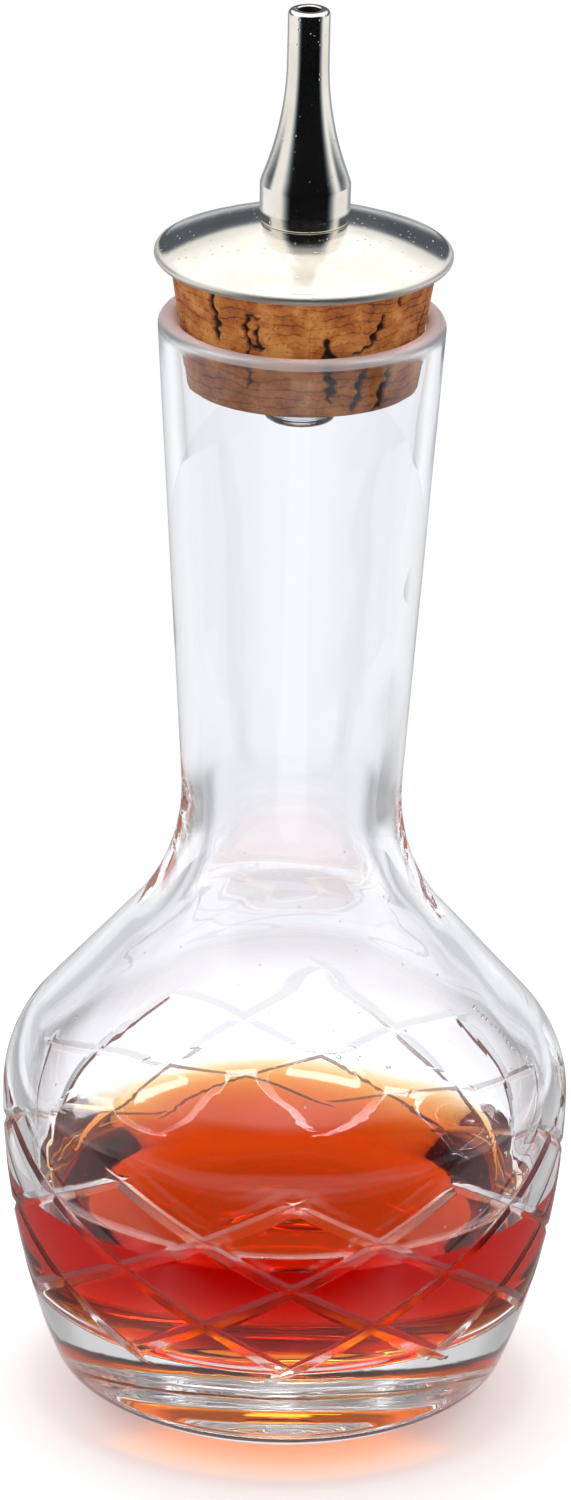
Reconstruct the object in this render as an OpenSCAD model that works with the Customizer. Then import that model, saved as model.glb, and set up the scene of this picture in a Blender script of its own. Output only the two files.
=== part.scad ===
// Cut-glass bitters bottle with a cork stopper, a domed metal cap plate and a dasher spout.
// Millimetres. Z is up, the origin is the middle of the foot, and -Y is the front.

/* [Body] */
// Greatest diameter of the body
body_d = 62.4; // [56:0.2:72]
// Radius of the long curve of the side, seen from the side
side_curve_r = 83; // [60:1:140]
// Radius of the rounded turn from the side into the foot
heel_r = 4.2; // [2:0.1:7]
// Radius of the flatter curve under the body
foot_curve_r = 17.2; // [12:0.2:22]
// Angle above the table at which the foot curve meets the heel
foot_angle = 36; // [28:1:44]
// Angle above the table at which the heel meets the side
heel_angle = 68.5; // [62:0.5:74]
// Diameter of the shallow hollow under the foot
punt_d = 17; // [10:0.5:22]
// Depth of the shallow hollow under the foot
punt_depth = 0.8; // [0.3:0.1:2]

/* [Shoulder and neck] */
// Radius of the shoulder where it leaves the widest line
shoulder_r = 13.2; // [8:0.2:18]
// Slope of the shoulder above the table
shoulder_slope = 49; // [42:1:58]
// Radius of the sweep from the shoulder into the neck
neck_curve_r = 22.5; // [12:0.5:34]
// Lean of the neck wall away from upright
neck_lean = 3.7; // [1:0.1:6]
// Outer diameter of the mouth
mouth_d = 30.9; // [28:0.1:36]
// Height of the glass, foot to lip
glass_h = 125.8; // [105:0.2:150]

/* [Walls] */
// Thickness of the clear glass under the bitters
floor_t = 12.3; // [6:0.1:16]
// Thickness of the body wall
body_wall = 2.8; // [1.8:0.1:4]
// Thickness of the neck wall and of the rounded lip
neck_wall = 2.24; // [1.6:0.02:3]
// Radius of the corner between the inner wall and the floor
floor_corner_r = 7; // [3:0.5:12]

/* [Cut lattice] */
// Number of cut points round the top of the band
cuts_around = 10; // [8:1:14]
// How many points each line crosses on its way down
cut_reach = 2; // [1:1:2]
// Drop from the widest line to the top points of the band
cut_drop = 0.3; // [0:0.1:4]
// Height of the cut band
cut_band_h = 21.2; // [14:0.2:26]
// Width of each V-shaped cut at the surface
cut_w = 1.4; // [0.6:0.1:2]
// Depth of each V-shaped cut
cut_depth = 0.45; // [0.2:0.05:0.8]
// Length by which a cut runs on past its end point
cut_overrun = 0.8; // [0:0.1:2]
// Turn of the pattern from the front
cut_turn = 2.3; // [-18:0.1:18]
// Uneven spacing that the hand cutting leaves round the body, in degrees
cut_drift = 5.5; // [0:0.5:8]

/* [Bitters] */
// Depth of the bitters in the body
fill_depth = 13.7; // [8:0.1:24]

/* [Cork] */
// Length of the cork
cork_h = 13.5; // [11:0.1:18]
// Lean of the cork's side away from upright
cork_taper = 9; // [4:0.5:11]
// Length of the cork that goes down past the middle of the lip
cork_seat = 6; // [4:0.1:8]
// Bevel round the lower end of the cork
cork_bevel = 0.6; // [0.2:0.1:1.5]

/* [Cap plate] */
// Width by which the cap plate stands out over the cork
plate_overhang = 1.66; // [0.8:0.02:4]
// Thickness of the rounded edge of the cap plate
plate_edge_t = 1.2; // [0.8:0.1:2]
// Height of the crown above the rounded edge
plate_crown_h = 3.1; // [1:0.1:5]
// Width of the small step inside the rounded edge
plate_border_w = 0.6; // [0.3:0.1:1.2]

/* [Spout] */
// Diameter of the spout at its foot
spout_foot_d = 9.4; // [8:0.1:12]
// Diameter of the barrel of the spout at its shoulder
spout_barrel_d = 9.7; // [8.4:0.1:13]
// Height of the barrel of the spout
spout_barrel_h = 4.4; // [3:0.1:8]
// Height of the slight taper at the foot of the barrel
spout_foot_h = 1.3; // [0.4:0.1:2.4]
// Diameter of the spout below its tip
spout_tip_d = 4.5; // [3.6:0.1:6]
// Height at which the sweep of the spout ends, above its foot
spout_sweep_h = 17.8; // [12:0.2:26]
// Height of the spout
spout_h = 23.4; // [20:0.2:36]
// Diameter of the opening in the tip
orifice_d = 2.3; // [1.2:0.1:3]
// Radius of the rounded tip
tip_round_r = 0.5; // [0.2:0.05:0.5]

/* [Stem and bush] */
// Outer diameter of the stem tube
stem_d = 5.4; // [4.6:0.1:6.4]
// Bore of the stem tube
stem_bore_d = 3.8; // [2.4:0.1:4]
// Length of the stem tube inside the spout
stem_socket_h = 3; // [2:0.1:4]
// Length of the stem tube below the cap plate
stem_drop = 9; // [5:0.5:10]
// Outer diameter of the clear bush
bush_d = 7.5; // [7:0.1:9]
// Length of the bush that stands out below the cork
bush_proud = 4; // [0.6:0.1:8]
// Bevel round the lower end of the bush
bush_bevel = 0.4; // [0.2:0.1:0.6]

/* [Fits] */
// Gap between the cork and the lip where the cork seats
seat_gap = 0.05; // [0.02:0.01:0.1]
// Gap all round between pressed or glued pieces
press_gap = 0.02; // [0.01:0.01:0.05]
// Gap left between the bitters and the glass
fill_gap = 0.03; // [0.01:0.01:0.1]

/* [Hidden] */
$fn = 96;

// Length by which a cutting shape runs past what it cuts
past = 1;

// Flats that stand for each curve of the glass profile
foot_steps = 5;
heel_steps = 4;
side_steps = 6;
shoulder_steps = 6;
sweep_steps = 8;
corner_steps = 6;

// Flats in the full circle of the long sweep of the spout
sweep_flats = 720;

// Directions in which the profile climbs, in degrees above the table
up = 90;
shoulder_dir = 180 - shoulder_slope;
neck_dir = up - neck_lean;

// Unit vector square to a line that climbs at angle a, pointing away from the glass
function outward(a) = [sin(a), -cos(a)];

// Unit vector along a line that climbs at angle a
function along(a) = [cos(a), sin(a)];

// Step from the start to the end of an arc of radius r that turns from direction a to direction b
function arc_step(r, a, b) = r * (outward(b) - outward(a));

// Points along an arc about c that turns from direction a to direction b, without its first point.
// A negative radius gives an arc that is hollow as seen from outside.
function arc_points(c, r, a, b, steps) = [for (i = [1 : steps]) c + r * outward(a + (b - a) * i / steps)];

// Where the line through p at angle a meets the line through q at angle b
function meet(p, a, q, b) = p + along(a) * cross(q - p, along(b)) / cross(along(a), along(b));

// Outer profile, as [radius, height] points, from the foot to the widest line
foot_run = arc_step(foot_curve_r, 0, foot_angle);
heel_run = arc_step(heel_r, foot_angle, heel_angle);
side_run = arc_step(side_curve_r, heel_angle, up);
lower_run = foot_run + heel_run + side_run;
widest = [body_d / 2, lower_run.y];
foot_start = [widest.x - lower_run.x, 0];
heel_start = foot_start + foot_run;
side_start = heel_start + heel_run;
side_centre = widest - [side_curve_r, 0];
shoulder_centre = widest - [shoulder_r, 0];

// Lip, whose round closes the neck wall
lip_r = neck_wall / 2;
lip_centre = [mouth_d / 2 - lip_r, glass_h - lip_r];
mouth_edge = lip_centre + lip_r * outward(neck_dir);

// Shoulder and neck of a surface that lies t_body and t_neck inside the outer one
function shoulder_end(t_body) = shoulder_centre + (shoulder_r - t_body) * outward(shoulder_dir);
function neck_point(t_neck) = mouth_edge - t_neck * outward(neck_dir);
function sweep_centre(t_body, t_neck) =
    let (r = neck_curve_r + t_neck)
    meet(shoulder_end(t_body) + r * outward(shoulder_dir), shoulder_dir,
         neck_point(t_neck) + r * outward(neck_dir), neck_dir);
function upper_profile(t_body, t_neck) =
    let (c = sweep_centre(t_body, t_neck), r = neck_curve_r + t_neck)
    concat(
        arc_points(shoulder_centre, shoulder_r - t_body, up, shoulder_dir, shoulder_steps),
        [c - r * outward(shoulder_dir)],
        arc_points(c, -r, shoulder_dir, neck_dir, sweep_steps),
        [neck_point(t_neck)]
    );

// Radius of the outer surface at height z, on the side or the shoulder
function outer_radius(z) =
    z <= widest.y
    ? side_centre.x + sqrt(side_curve_r ^ 2 - (z - widest.y) ^ 2)
    : shoulder_centre.x + sqrt(shoulder_r ^ 2 - (z - widest.y) ^ 2);

// Inner side curve and the corner that rounds it into the floor
inner_side_r = side_curve_r - body_wall;
corner_rise = floor_t + floor_corner_r - widest.y;
corner_centre = [
    side_centre.x + sqrt((inner_side_r - floor_corner_r) ^ 2 - corner_rise ^ 2),
    floor_t + floor_corner_r
];
corner_dir = up + atan2(corner_centre.y - side_centre.y, corner_centre.x - side_centre.x);

// Heights and spacing of the cut lattice
cut_top_z = widest.y - cut_drop;
cut_bottom_z = cut_top_z - cut_band_h;
cut_step = 360 / cuts_around;

// Stopper, sized and placed by where the tapered cork seats against the lip
cork_r_at_lip = lip_centre.x - (lip_r + seat_gap) / cos(cork_taper);
cork_bottom_d = 2 * (cork_r_at_lip - cork_seat * tan(cork_taper));
cork_top_d = cork_bottom_d + 2 * cork_h * tan(cork_taper);
cork_z = lip_centre.y - cork_seat;
plate_z = cork_z + cork_h;
plate_d = cork_top_d + 2 * plate_overhang;
spout_z = plate_z + plate_edge_t + plate_crown_h;
stem_z = plate_z - stem_drop;
bush_z = cork_z - bush_proud;

// Crown of the cap plate, a cap of a ball between its border and the flat under the spout
crown_r = plate_d / 2 - plate_border_w;
flat_r = spout_foot_d / 2;
crown_ball_r = sqrt(flat_r ^ 2 + ((crown_r ^ 2 - flat_r ^ 2 - plate_crown_h ^ 2) / (2 * plate_crown_h)
    + plate_crown_h) ^ 2);
crown_ball_z = spout_z - sqrt(crown_ball_r ^ 2 - flat_r ^ 2);

// Outer shape of the glass as a half section
module outer_section() {
    polygon(concat(
        [[0, 0], foot_start],
        arc_points(foot_start + [0, foot_curve_r], foot_curve_r, 0, foot_angle, foot_steps),
        arc_points(side_start - heel_r * outward(heel_angle), heel_r, foot_angle, heel_angle, heel_steps),
        arc_points(side_centre, side_curve_r, heel_angle, up, side_steps),
        upper_profile(0, 0),
        [neck_point(neck_wall), [0, neck_point(neck_wall).y]]
    ));
    translate(lip_centre) circle(lip_r);
}

// Hollow of the glass as a half section, drawn in by a gap and open at the top by a rise
module inner_section(gap, rise) {
    top = neck_point(neck_wall + gap) + rise * along(neck_dir);
    polygon(concat(
        [[0, floor_t + gap], [corner_centre.x, floor_t + gap]],
        arc_points(corner_centre, floor_corner_r - gap, 0, corner_dir, corner_steps),
        arc_points(side_centre, inner_side_r - gap, corner_dir, up, side_steps),
        upper_profile(body_wall + gap, neck_wall + gap),
        [top, [0, top.y]]
    ));
}

// Azimuth of lattice point k, with the uneven spacing of hand cutting
function point_turn(k) =
    let (a = cut_turn + cut_step * k)
    a - cut_drift * (1 - cos(a));

// Point on the outer surface at height z and azimuth a from the front
function on_surface(z, a) = [outer_radius(z) * sin(a), -outer_radius(z) * cos(a), z];

function unit(v) = v / norm(v);

// Centre of the circle through points a, b and c
function circle_centre(a, b, c) =
    let (ab = b - a, ac = c - a, n = cross(ab, ac))
    a + (cross(n, ab) * (ac * ac) + cross(ac, n) * (ab * ab)) / (2 * (n * n));

// One V-shaped cut from the top point k down to the bottom point k + reach
module lattice_cut(k, reach) {
    a0 = point_turn(k);
    a1 = point_turn(k + reach);
    top = on_surface(cut_top_z, a0);
    mid = on_surface((cut_top_z + cut_bottom_z) / 2, (a0 + a1) / 2);
    bottom = on_surface(cut_bottom_z, a1);
    c = circle_centre(top, mid, bottom);
    r = norm(mid - c);
    x_axis = unit(mid - c);
    z_axis = unit(cross(top - c, bottom - c));
    y_axis = cross(z_axis, x_axis);
    span = 2 * asin(norm(bottom - top) / (2 * r)) + 2 * cut_overrun / r * 180 / PI;
    flare = cut_w / 2 * (cut_depth + past) / cut_depth;
    multmatrix([
        [x_axis.x, y_axis.x, z_axis.x, c.x],
        [x_axis.y, y_axis.y, z_axis.y, c.y],
        [x_axis.z, y_axis.z, z_axis.z, c.z],
        [0, 0, 0, 1]
    ])
        rotate([0, 0, -span / 2])
            rotate_extrude(angle = span)
                polygon([[r - cut_depth, 0], [r + past, flare], [r + past, -flare]]);
}

// Glass as blown, before it is cut
module blank() {
    punt_ball_r = ((punt_d / 2) ^ 2 + punt_depth ^ 2) / (2 * punt_depth);
    difference() {
        rotate_extrude()
            difference() {
                outer_section();
                inner_section(0, lip_r + past);
            }
        translate([0, 0, punt_depth - punt_ball_r]) sphere(punt_ball_r);
    }
}

// Clear glass bottle, cut first one way round and then the other
module bottle() {
    color([0.86, 0.92, 0.94, 0.35])
        difference() {
            difference() {
                blank();
                for (k = [0 : cuts_around - 1]) lattice_cut(k, cut_reach);
            }
            for (k = [0 : cuts_around - 1]) lattice_cut(k, -cut_reach);
        }
}

// Bitters lying in the body
module bitters() {
    color([0.78, 0.2, 0.02, 0.9])
        rotate_extrude()
            intersection() {
                inner_section(fill_gap, 0);
                square([body_d, floor_t + fill_depth]);
            }
}

// Natural cork, tapered, with a hole for the bush
module cork() {
    bevel_r = cork_bottom_d / 2 - cork_bevel;
    side_r = cork_bottom_d / 2 + cork_bevel * tan(cork_taper);
    color([0.72, 0.5, 0.3])
        translate([0, 0, cork_z])
            difference() {
                rotate_extrude()
                    polygon([
                        [0, 0],
                        [bevel_r, 0],
                        [side_r, cork_bevel],
                        [cork_top_d / 2, cork_h],
                        [0, cork_h]
                    ]);
                translate([0, 0, -past]) cylinder(h = cork_h + 2 * past, d = bush_d + 2 * press_gap);
            }
}

// Domed cap plate with a rounded edge and a flat for the spout
module cap_plate() {
    edge_r = plate_edge_t / 2;
    color([0.8, 0.79, 0.76])
        difference() {
            union() {
                rotate_extrude()
                    translate([0, plate_z]) {
                        square([plate_d / 2 - edge_r, plate_edge_t]);
                        translate([plate_d / 2 - edge_r, edge_r]) circle(edge_r);
                    }
                rotate_extrude()
                    intersection() {
                        translate([0, crown_ball_z]) circle(crown_ball_r);
                        translate([0, plate_z + edge_r]) square([crown_r, spout_z - plate_z - edge_r]);
                    }
            }
            translate([0, 0, plate_z - past])
                cylinder(h = spout_z - plate_z + 2 * past, d = stem_d + 2 * press_gap);
        }
}

// Dasher spout with a short barrel, a swept taper and a fine opening
module spout() {
    barrel_r = spout_barrel_d / 2;
    tip_r = spout_tip_d / 2;
    sweep_drop = barrel_r - tip_r;
    sweep_rise = spout_sweep_h - spout_barrel_h;
    sweep_r = (sweep_rise ^ 2 + sweep_drop ^ 2) / (2 * sweep_drop);
    orifice_r = orifice_d / 2;
    bore_r = stem_bore_d / 2;
    color([0.83, 0.81, 0.77])
        translate([0, 0, spout_z])
            rotate_extrude()
                difference() {
                    union() {
                        polygon([
                            [0, 0],
                            [spout_foot_d / 2, 0],
                            [barrel_r, spout_foot_h],
                            [barrel_r, spout_barrel_h],
                            [0, spout_barrel_h]
                        ]);
                        difference() {
                            translate([0, spout_barrel_h]) square([barrel_r, sweep_rise]);
                            translate([tip_r + sweep_r, spout_sweep_h]) circle(sweep_r, $fn = sweep_flats);
                        }
                        translate([0, spout_sweep_h])
                            square([tip_r, spout_h - tip_round_r - spout_sweep_h]);
                        translate([0, spout_h - 2 * tip_round_r]) square([tip_r - tip_round_r, 2 * tip_round_r]);
                        translate([tip_r - tip_round_r, spout_h - tip_round_r]) circle(tip_round_r);
                    }
                    translate([0, -past]) square([stem_d / 2 + press_gap, stem_socket_h + past]);
                    polygon([
                        [0, stem_socket_h - past],
                        [bore_r, stem_socket_h - past],
                        [bore_r, stem_socket_h],
                        [orifice_r, spout_sweep_h],
                        [orifice_r, spout_h + past],
                        [0, spout_h + past]
                    ]);
                }
}

// Metal tube that ties the spout, the plate and the bush together
module stem_tube() {
    color([0.78, 0.76, 0.7])
        translate([0, 0, stem_z])
            difference() {
                cylinder(h = stem_drop + spout_z - plate_z + stem_socket_h, d = stem_d);
                translate([0, 0, -past])
                    cylinder(h = stem_drop + spout_z - plate_z + stem_socket_h + 2 * past, d = stem_bore_d);
            }
}

// Clear plastic bush through the cork, with a ledge that the stem stands on
module flow_bush() {
    bush_r = bush_d / 2;
    ledge_h = stem_z - bush_z;
    color([0.9, 0.93, 0.95, 0.6])
        translate([0, 0, bush_z])
            difference() {
                rotate_extrude()
                    polygon([
                        [0, 0],
                        [bush_r - bush_bevel, 0],
                        [bush_r, bush_bevel],
                        [bush_r, plate_z - bush_z],
                        [0, plate_z - bush_z]
                    ]);
                translate([0, 0, ledge_h]) cylinder(h = plate_z - stem_z + past, d = stem_d + 2 * press_gap);
                translate([0, 0, -past]) cylinder(h = ledge_h + 2 * past, d = stem_bore_d);
            }
}

bottle();
bitters();
cork();
cap_plate();
spout();
stem_tube();
flow_bush();
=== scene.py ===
"""Looks of a cut-glass bitters bottle, built in metres round the frame of its solids."""

import enum
import logging
import math
from collections.abc import Callable, Sequence
from dataclasses import dataclass, field
from functools import partial

import bmesh
import bpy
import numpy as np
from mathutils import Matrix, Vector


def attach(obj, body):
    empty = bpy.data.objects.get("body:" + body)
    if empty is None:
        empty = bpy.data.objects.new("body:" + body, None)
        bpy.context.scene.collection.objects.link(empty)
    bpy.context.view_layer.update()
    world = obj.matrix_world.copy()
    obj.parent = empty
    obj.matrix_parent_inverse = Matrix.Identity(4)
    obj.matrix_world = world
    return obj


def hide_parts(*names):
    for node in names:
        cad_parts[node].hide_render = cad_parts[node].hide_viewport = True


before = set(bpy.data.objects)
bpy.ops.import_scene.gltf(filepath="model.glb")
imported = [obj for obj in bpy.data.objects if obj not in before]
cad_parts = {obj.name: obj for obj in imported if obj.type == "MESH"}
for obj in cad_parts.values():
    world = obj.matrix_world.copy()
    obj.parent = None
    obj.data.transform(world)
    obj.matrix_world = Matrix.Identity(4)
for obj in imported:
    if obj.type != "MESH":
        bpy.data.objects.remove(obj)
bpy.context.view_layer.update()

log = logging.getLogger("bitters_bottle")

MM = 0.001
UPRIGHT = 90.0
WELD_MM = 1e-4
WAVE_RATE = 20.0  # Blender's wave texture turns by 20 radians for each unit of length
GLASS_IOR = 1.51
BITTERS_IOR = 1.36

Point = tuple[float, float]
Rows = list[Point]


class Body(enum.Enum):
    """Rigid bodies of the frame that a piece can ride on."""

    GLASS = "glass"
    STOPPER = "stopper"


class Slot(enum.Enum):
    """Material slots of the record."""

    GLASS = "clear_glass"
    BITTERS = "bitters_liquid"
    CORK = "natural_cork"
    METAL = "plated_metal"
    PLASTIC = "clear_plastic"


# Colours and node helpers


def linear(hex_code: str) -> tuple[float, float, float, float]:
    """Turns an sRGB hex colour to linear light.

    Args:
        hex_code: Six hex digits, with or without a leading hash.

    Returns:
        Red, green and blue in linear light, and an alpha of 1.
    """
    digits = hex_code.lstrip("#")
    out = []
    for start in (0, 2, 4):
        value = int(digits[start : start + 2], 16) / 255
        out.append(value / 12.92 if value <= 0.04045 else ((value + 0.055) / 1.055) ** 2.4)
    return out[0], out[1], out[2], 1.0


def add_node(
    tree: bpy.types.NodeTree,
    kind: str,
    links: dict[str | int, bpy.types.NodeSocket] | None = None,
    values: dict[str | int, object] | None = None,
    **settings: object,
) -> bpy.types.Node:
    """Adds one node with its settings and links.

    Args:
        tree: Node tree that gets the node.
        kind: Blender's name of the node type.
        links: Output sockets to link, by the name or number of the input.
        values: Values to set, by the name or number of the input.
        **settings: Properties of the node itself.

    Returns:
        The new node.
    """
    made = tree.nodes.new(kind)
    for name, value in settings.items():
        setattr(made, name, value)
    for key, value in (values or {}).items():
        made.inputs[key].default_value = value
    for key, socket in (links or {}).items():
        tree.links.new(socket, made.inputs[key])
    return made


def joined(
    tree: bpy.types.NodeTree, a: bpy.types.NodeSocket, b: bpy.types.NodeSocket | float, operation: str
) -> bpy.types.NodeSocket:
    """Joins a value with another value or with a number.

    Args:
        tree: Node tree that gets the node.
        a: First value.
        b: Second value, or a number.
        operation: Blender's name of the sum.

    Returns:
        The result.
    """
    links, values = ({0: a}, {1: b}) if isinstance(b, float) else ({0: a, 1: b}, None)
    return add_node(tree, "ShaderNodeMath", links, values, operation=operation).outputs[0]


@dataclass(frozen=True)
class Fade:
    """A soft rise from 0 at one value to a level at another, or a fall where the second is lower."""

    start: float
    end: float
    level: float = 1.0

    def of(self, tree: bpy.types.NodeTree, value: bpy.types.NodeSocket) -> bpy.types.NodeSocket:
        """Adds the fade of a value to a tree.

        Args:
            tree: Node tree that gets the node.
            value: The value that fades.

        Returns:
            The level of the fade at that value.
        """
        limits = {"From Min": self.start, "From Max": self.end, "To Max": self.level}
        kind = "ShaderNodeMapRange"
        return add_node(tree, kind, {"Value": value}, limits, interpolation_type="SMOOTHSTEP").outputs[0]


def set_stops(node: bpy.types.Node, stops: Sequence[tuple[float, str]]) -> bpy.types.Node:
    """Sets the stops of a colour ramp.

    Args:
        node: A colour ramp node.
        stops: Position and sRGB hex colour of each stop.

    Returns:
        The same node.
    """
    ramp = node.color_ramp
    while len(ramp.elements) > 1:
        ramp.elements.remove(ramp.elements[-1])
    for number, (position, colour) in enumerate(stops):
        stop = ramp.elements[0] if number == 0 else ramp.elements.new(position)
        stop.position = position
        stop.color = linear(colour)
    return node


def new_material(name: str) -> tuple[bpy.types.Material, bpy.types.NodeTree, bpy.types.Node]:
    """Starts a material.

    Args:
        name: Name of the material.

    Returns:
        The material, its empty tree and its output node.
    """
    made = bpy.data.materials.new(name)
    made.use_nodes = True
    tree = made.node_tree
    tree.nodes.clear()
    out = tree.nodes.new("ShaderNodeOutputMaterial")
    return made, tree, out


# Finishes


@dataclass(frozen=True)
class ClearGlass:
    """Soda-lime glass, blown and fire polished: clear and sharp, with a faint cool cast.

    Where it is cut, the wheel leaves fine streaks that break up the light along the V.
    The lip is ground and only half polished, so it looks pale and soft.
    """

    name: str = "soda_lime_glass_fire_polished"
    colour: str = "#FBFCFF"
    ior: float = GLASS_IOR
    cut_roughness: float = 0.24
    lip_roughness: float = 0.34
    # Real wheel marks are some 0.05 mm apart. They are drawn coarser, so that they show.
    streak_mm: float = 0.35
    streak_depth_mm: float = 0.02
    streak_bump: float = 0.25
    clarity: float = 1.0

    def build(self) -> bpy.types.Material:
        """Builds the material.

        Returns:
            The new material.
        """
        made, tree, out = new_material(self.name)
        coords = add_node(tree, "ShaderNodeTexCoord")
        cut = add_node(tree, "ShaderNodeAttribute", attribute_name="cut")
        streaks = add_node(
            tree,
            "ShaderNodeTexNoise",
            {"Vector": coords.outputs["Object"]},
            {"Scale": 1 / (self.streak_mm * MM), "Detail": 3.0, "Roughness": 0.6},
        )
        strength = joined(tree, cut.outputs["Fac"], self.streak_bump, "MULTIPLY")
        bump = add_node(
            tree,
            "ShaderNodeBump",
            {"Height": streaks.outputs["Fac"], "Strength": strength},
            {"Distance": self.streak_depth_mm * MM},
        )
        lip = add_node(tree, "ShaderNodeAttribute", attribute_name="lip")
        lip_rough = joined(tree, lip.outputs["Fac"], self.lip_roughness, "MULTIPLY")
        rough = add_node(
            tree,
            "ShaderNodeMath",
            {0: cut.outputs["Fac"], 2: lip_rough},
            {1: self.cut_roughness},
            operation="MULTIPLY_ADD",
        )
        shader = add_node(
            tree,
            "ShaderNodeBsdfPrincipled",
            {"Normal": bump.outputs["Normal"], "Roughness": rough.outputs[0]},
            {
                "Base Color": linear(self.colour),
                "IOR": self.ior,
                "Transmission Weight": self.clarity,
            },
        )
        tree.links.new(shader.outputs["BSDF"], out.inputs["Surface"])
        return made


@dataclass(frozen=True)
class ClearMedium:
    """A clear boundary between two media, as light meets it: its index is the ratio of theirs."""

    name: str
    ior: float
    colour: str = "#FFFFFF"
    roughness: float = 0.0
    absorbed: str | None = None
    density: float = 0.0

    def build(self) -> bpy.types.Material:
        """Builds the material, with its body colour where it has one.

        Returns:
            The new material.
        """
        made, tree, out = new_material(self.name)
        shader = add_node(
            tree,
            "ShaderNodeBsdfPrincipled",
            None,
            {
                "Base Color": linear(self.colour),
                "Roughness": self.roughness,
                "IOR": self.ior,
                "Transmission Weight": 1.0,
            },
        )
        tree.links.new(shader.outputs["BSDF"], out.inputs["Surface"])
        if self.absorbed:
            body = add_node(
                tree,
                "ShaderNodeVolumeAbsorption",
                None,
                {"Color": linear(self.absorbed), "Density": self.density},
            )
            tree.links.new(body.outputs["Volume"], out.inputs["Volume"])
        return made


@dataclass(frozen=True)
class NickelPlate:
    """Brass turned, polished and nickel plated: a warm mirror with faint turning rings and pin pits.

    The rolled edge of the plate is handled most, so it is dulled to satin.
    """

    name: str = "nickel_plate_polished"
    colour: str = "#EFECE4"
    shade: str = "#DFDAD0"
    roughness: float = 0.09
    roughness_spread: Point = (0.6, 1.8)
    worn_edge_r: float = 15.5
    worn_soft: float = 0.15
    worn: float = 0.34
    cloud_mm: float = 6.0
    # Real turning rings are some 0.2 mm apart and pin pits 0.05 mm wide. Both are drawn coarser, to show.
    ring_mm: float = 1.3823
    ring_depth: float = 0.06
    pit_mm: float = 0.95
    pit_share: float = 0.14
    bump: float = 0.8
    bump_mm: float = 0.045

    def build(self) -> bpy.types.Material:
        """Builds the material.

        Returns:
            The new material.
        """
        made, tree, out = new_material(self.name)
        coords = add_node(tree, "ShaderNodeTexCoord")
        cloud = add_node(
            tree,
            "ShaderNodeTexNoise",
            {"Vector": coords.outputs["Object"]},
            {"Scale": 1 / (self.cloud_mm * MM), "Detail": 4.0},
        )
        tint = set_stops(
            add_node(tree, "ShaderNodeValToRGB", {"Fac": cloud.outputs["Fac"]}),
            [(0.35, self.shade), (0.65, self.colour)],
        )
        rings = add_node(
            tree,
            "ShaderNodeTexWave",
            {"Vector": coords.outputs["Object"]},
            {"Scale": 2 * math.pi / (self.ring_mm * MM) / WAVE_RATE, "Distortion": 1.5, "Detail": 2.0},
            wave_type="RINGS",
            rings_direction="Z",
        )
        pits = add_node(
            tree,
            "ShaderNodeTexVoronoi",
            {"Vector": coords.outputs["Object"]},
            {"Scale": 1 / (self.pit_mm * MM)},
        )
        pit_depth = add_node(
            tree,
            "ShaderNodeMapRange",
            {"Value": pits.outputs["Distance"]},
            {"From Min": 0.0, "From Max": self.pit_share, "To Min": -1.0, "To Max": 0.0},
        )
        height = add_node(
            tree,
            "ShaderNodeMath",
            {0: rings.outputs["Fac"], 2: pit_depth.outputs["Result"]},
            {1: self.ring_depth},
            operation="MULTIPLY_ADD",
        )
        bump = add_node(
            tree,
            "ShaderNodeBump",
            {"Height": height.outputs[0]},
            {"Strength": self.bump, "Distance": self.bump_mm * MM},
        )
        least, most = (self.roughness * share for share in self.roughness_spread)
        rough = add_node(
            tree, "ShaderNodeMapRange", {"Value": cloud.outputs["Fac"]}, {"To Min": least, "To Max": most}
        )
        flat = add_node(
            tree,
            "ShaderNodeVectorMath",
            {0: coords.outputs["Object"]},
            {1: (1.0, 1.0, 0.0)},
            operation="MULTIPLY",
        )
        radius = add_node(tree, "ShaderNodeVectorMath", {0: flat.outputs["Vector"]}, operation="LENGTH")
        edge = add_node(
            tree,
            "ShaderNodeMapRange",
            {"Value": radius.outputs["Value"]},
            {
                "From Min": (self.worn_edge_r - self.worn_soft) * MM,
                "From Max": (self.worn_edge_r + self.worn_soft) * MM,
                "To Min": 0.0,
                "To Max": self.worn,
            },
        )
        dulled = joined(tree, rough.outputs["Result"], edge.outputs["Result"], "ADD")
        shader = add_node(
            tree,
            "ShaderNodeBsdfPrincipled",
            {
                "Base Color": tint.outputs["Color"],
                "Roughness": dulled,
                "Normal": bump.outputs["Normal"],
            },
            {"Metallic": 1.0},
        )
        tree.links.new(shader.outputs["BSDF"], out.inputs["Surface"])
        return made


@dataclass(frozen=True)
class BareBore:
    """Drilled brass that the plating didn't reach, dulled. Its near-black colour is painted shade, so the
    hole in the tip reads dark.
    """

    name: str = "brass_drilled_painted_shade"
    # Near-black: painted shade in the hole.
    colour: str = "#3B342A"
    roughness: float = 0.5

    def build(self) -> bpy.types.Material:
        """Builds the material.

        Returns:
            The new material.
        """
        made, tree, out = new_material(self.name)
        shader = add_node(
            tree,
            "ShaderNodeBsdfPrincipled",
            None,
            {"Base Color": linear(self.colour), "Metallic": 1.0, "Roughness": self.roughness},
        )
        tree.links.new(shader.outputs["BSDF"], out.inputs["Surface"])
        return made


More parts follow.
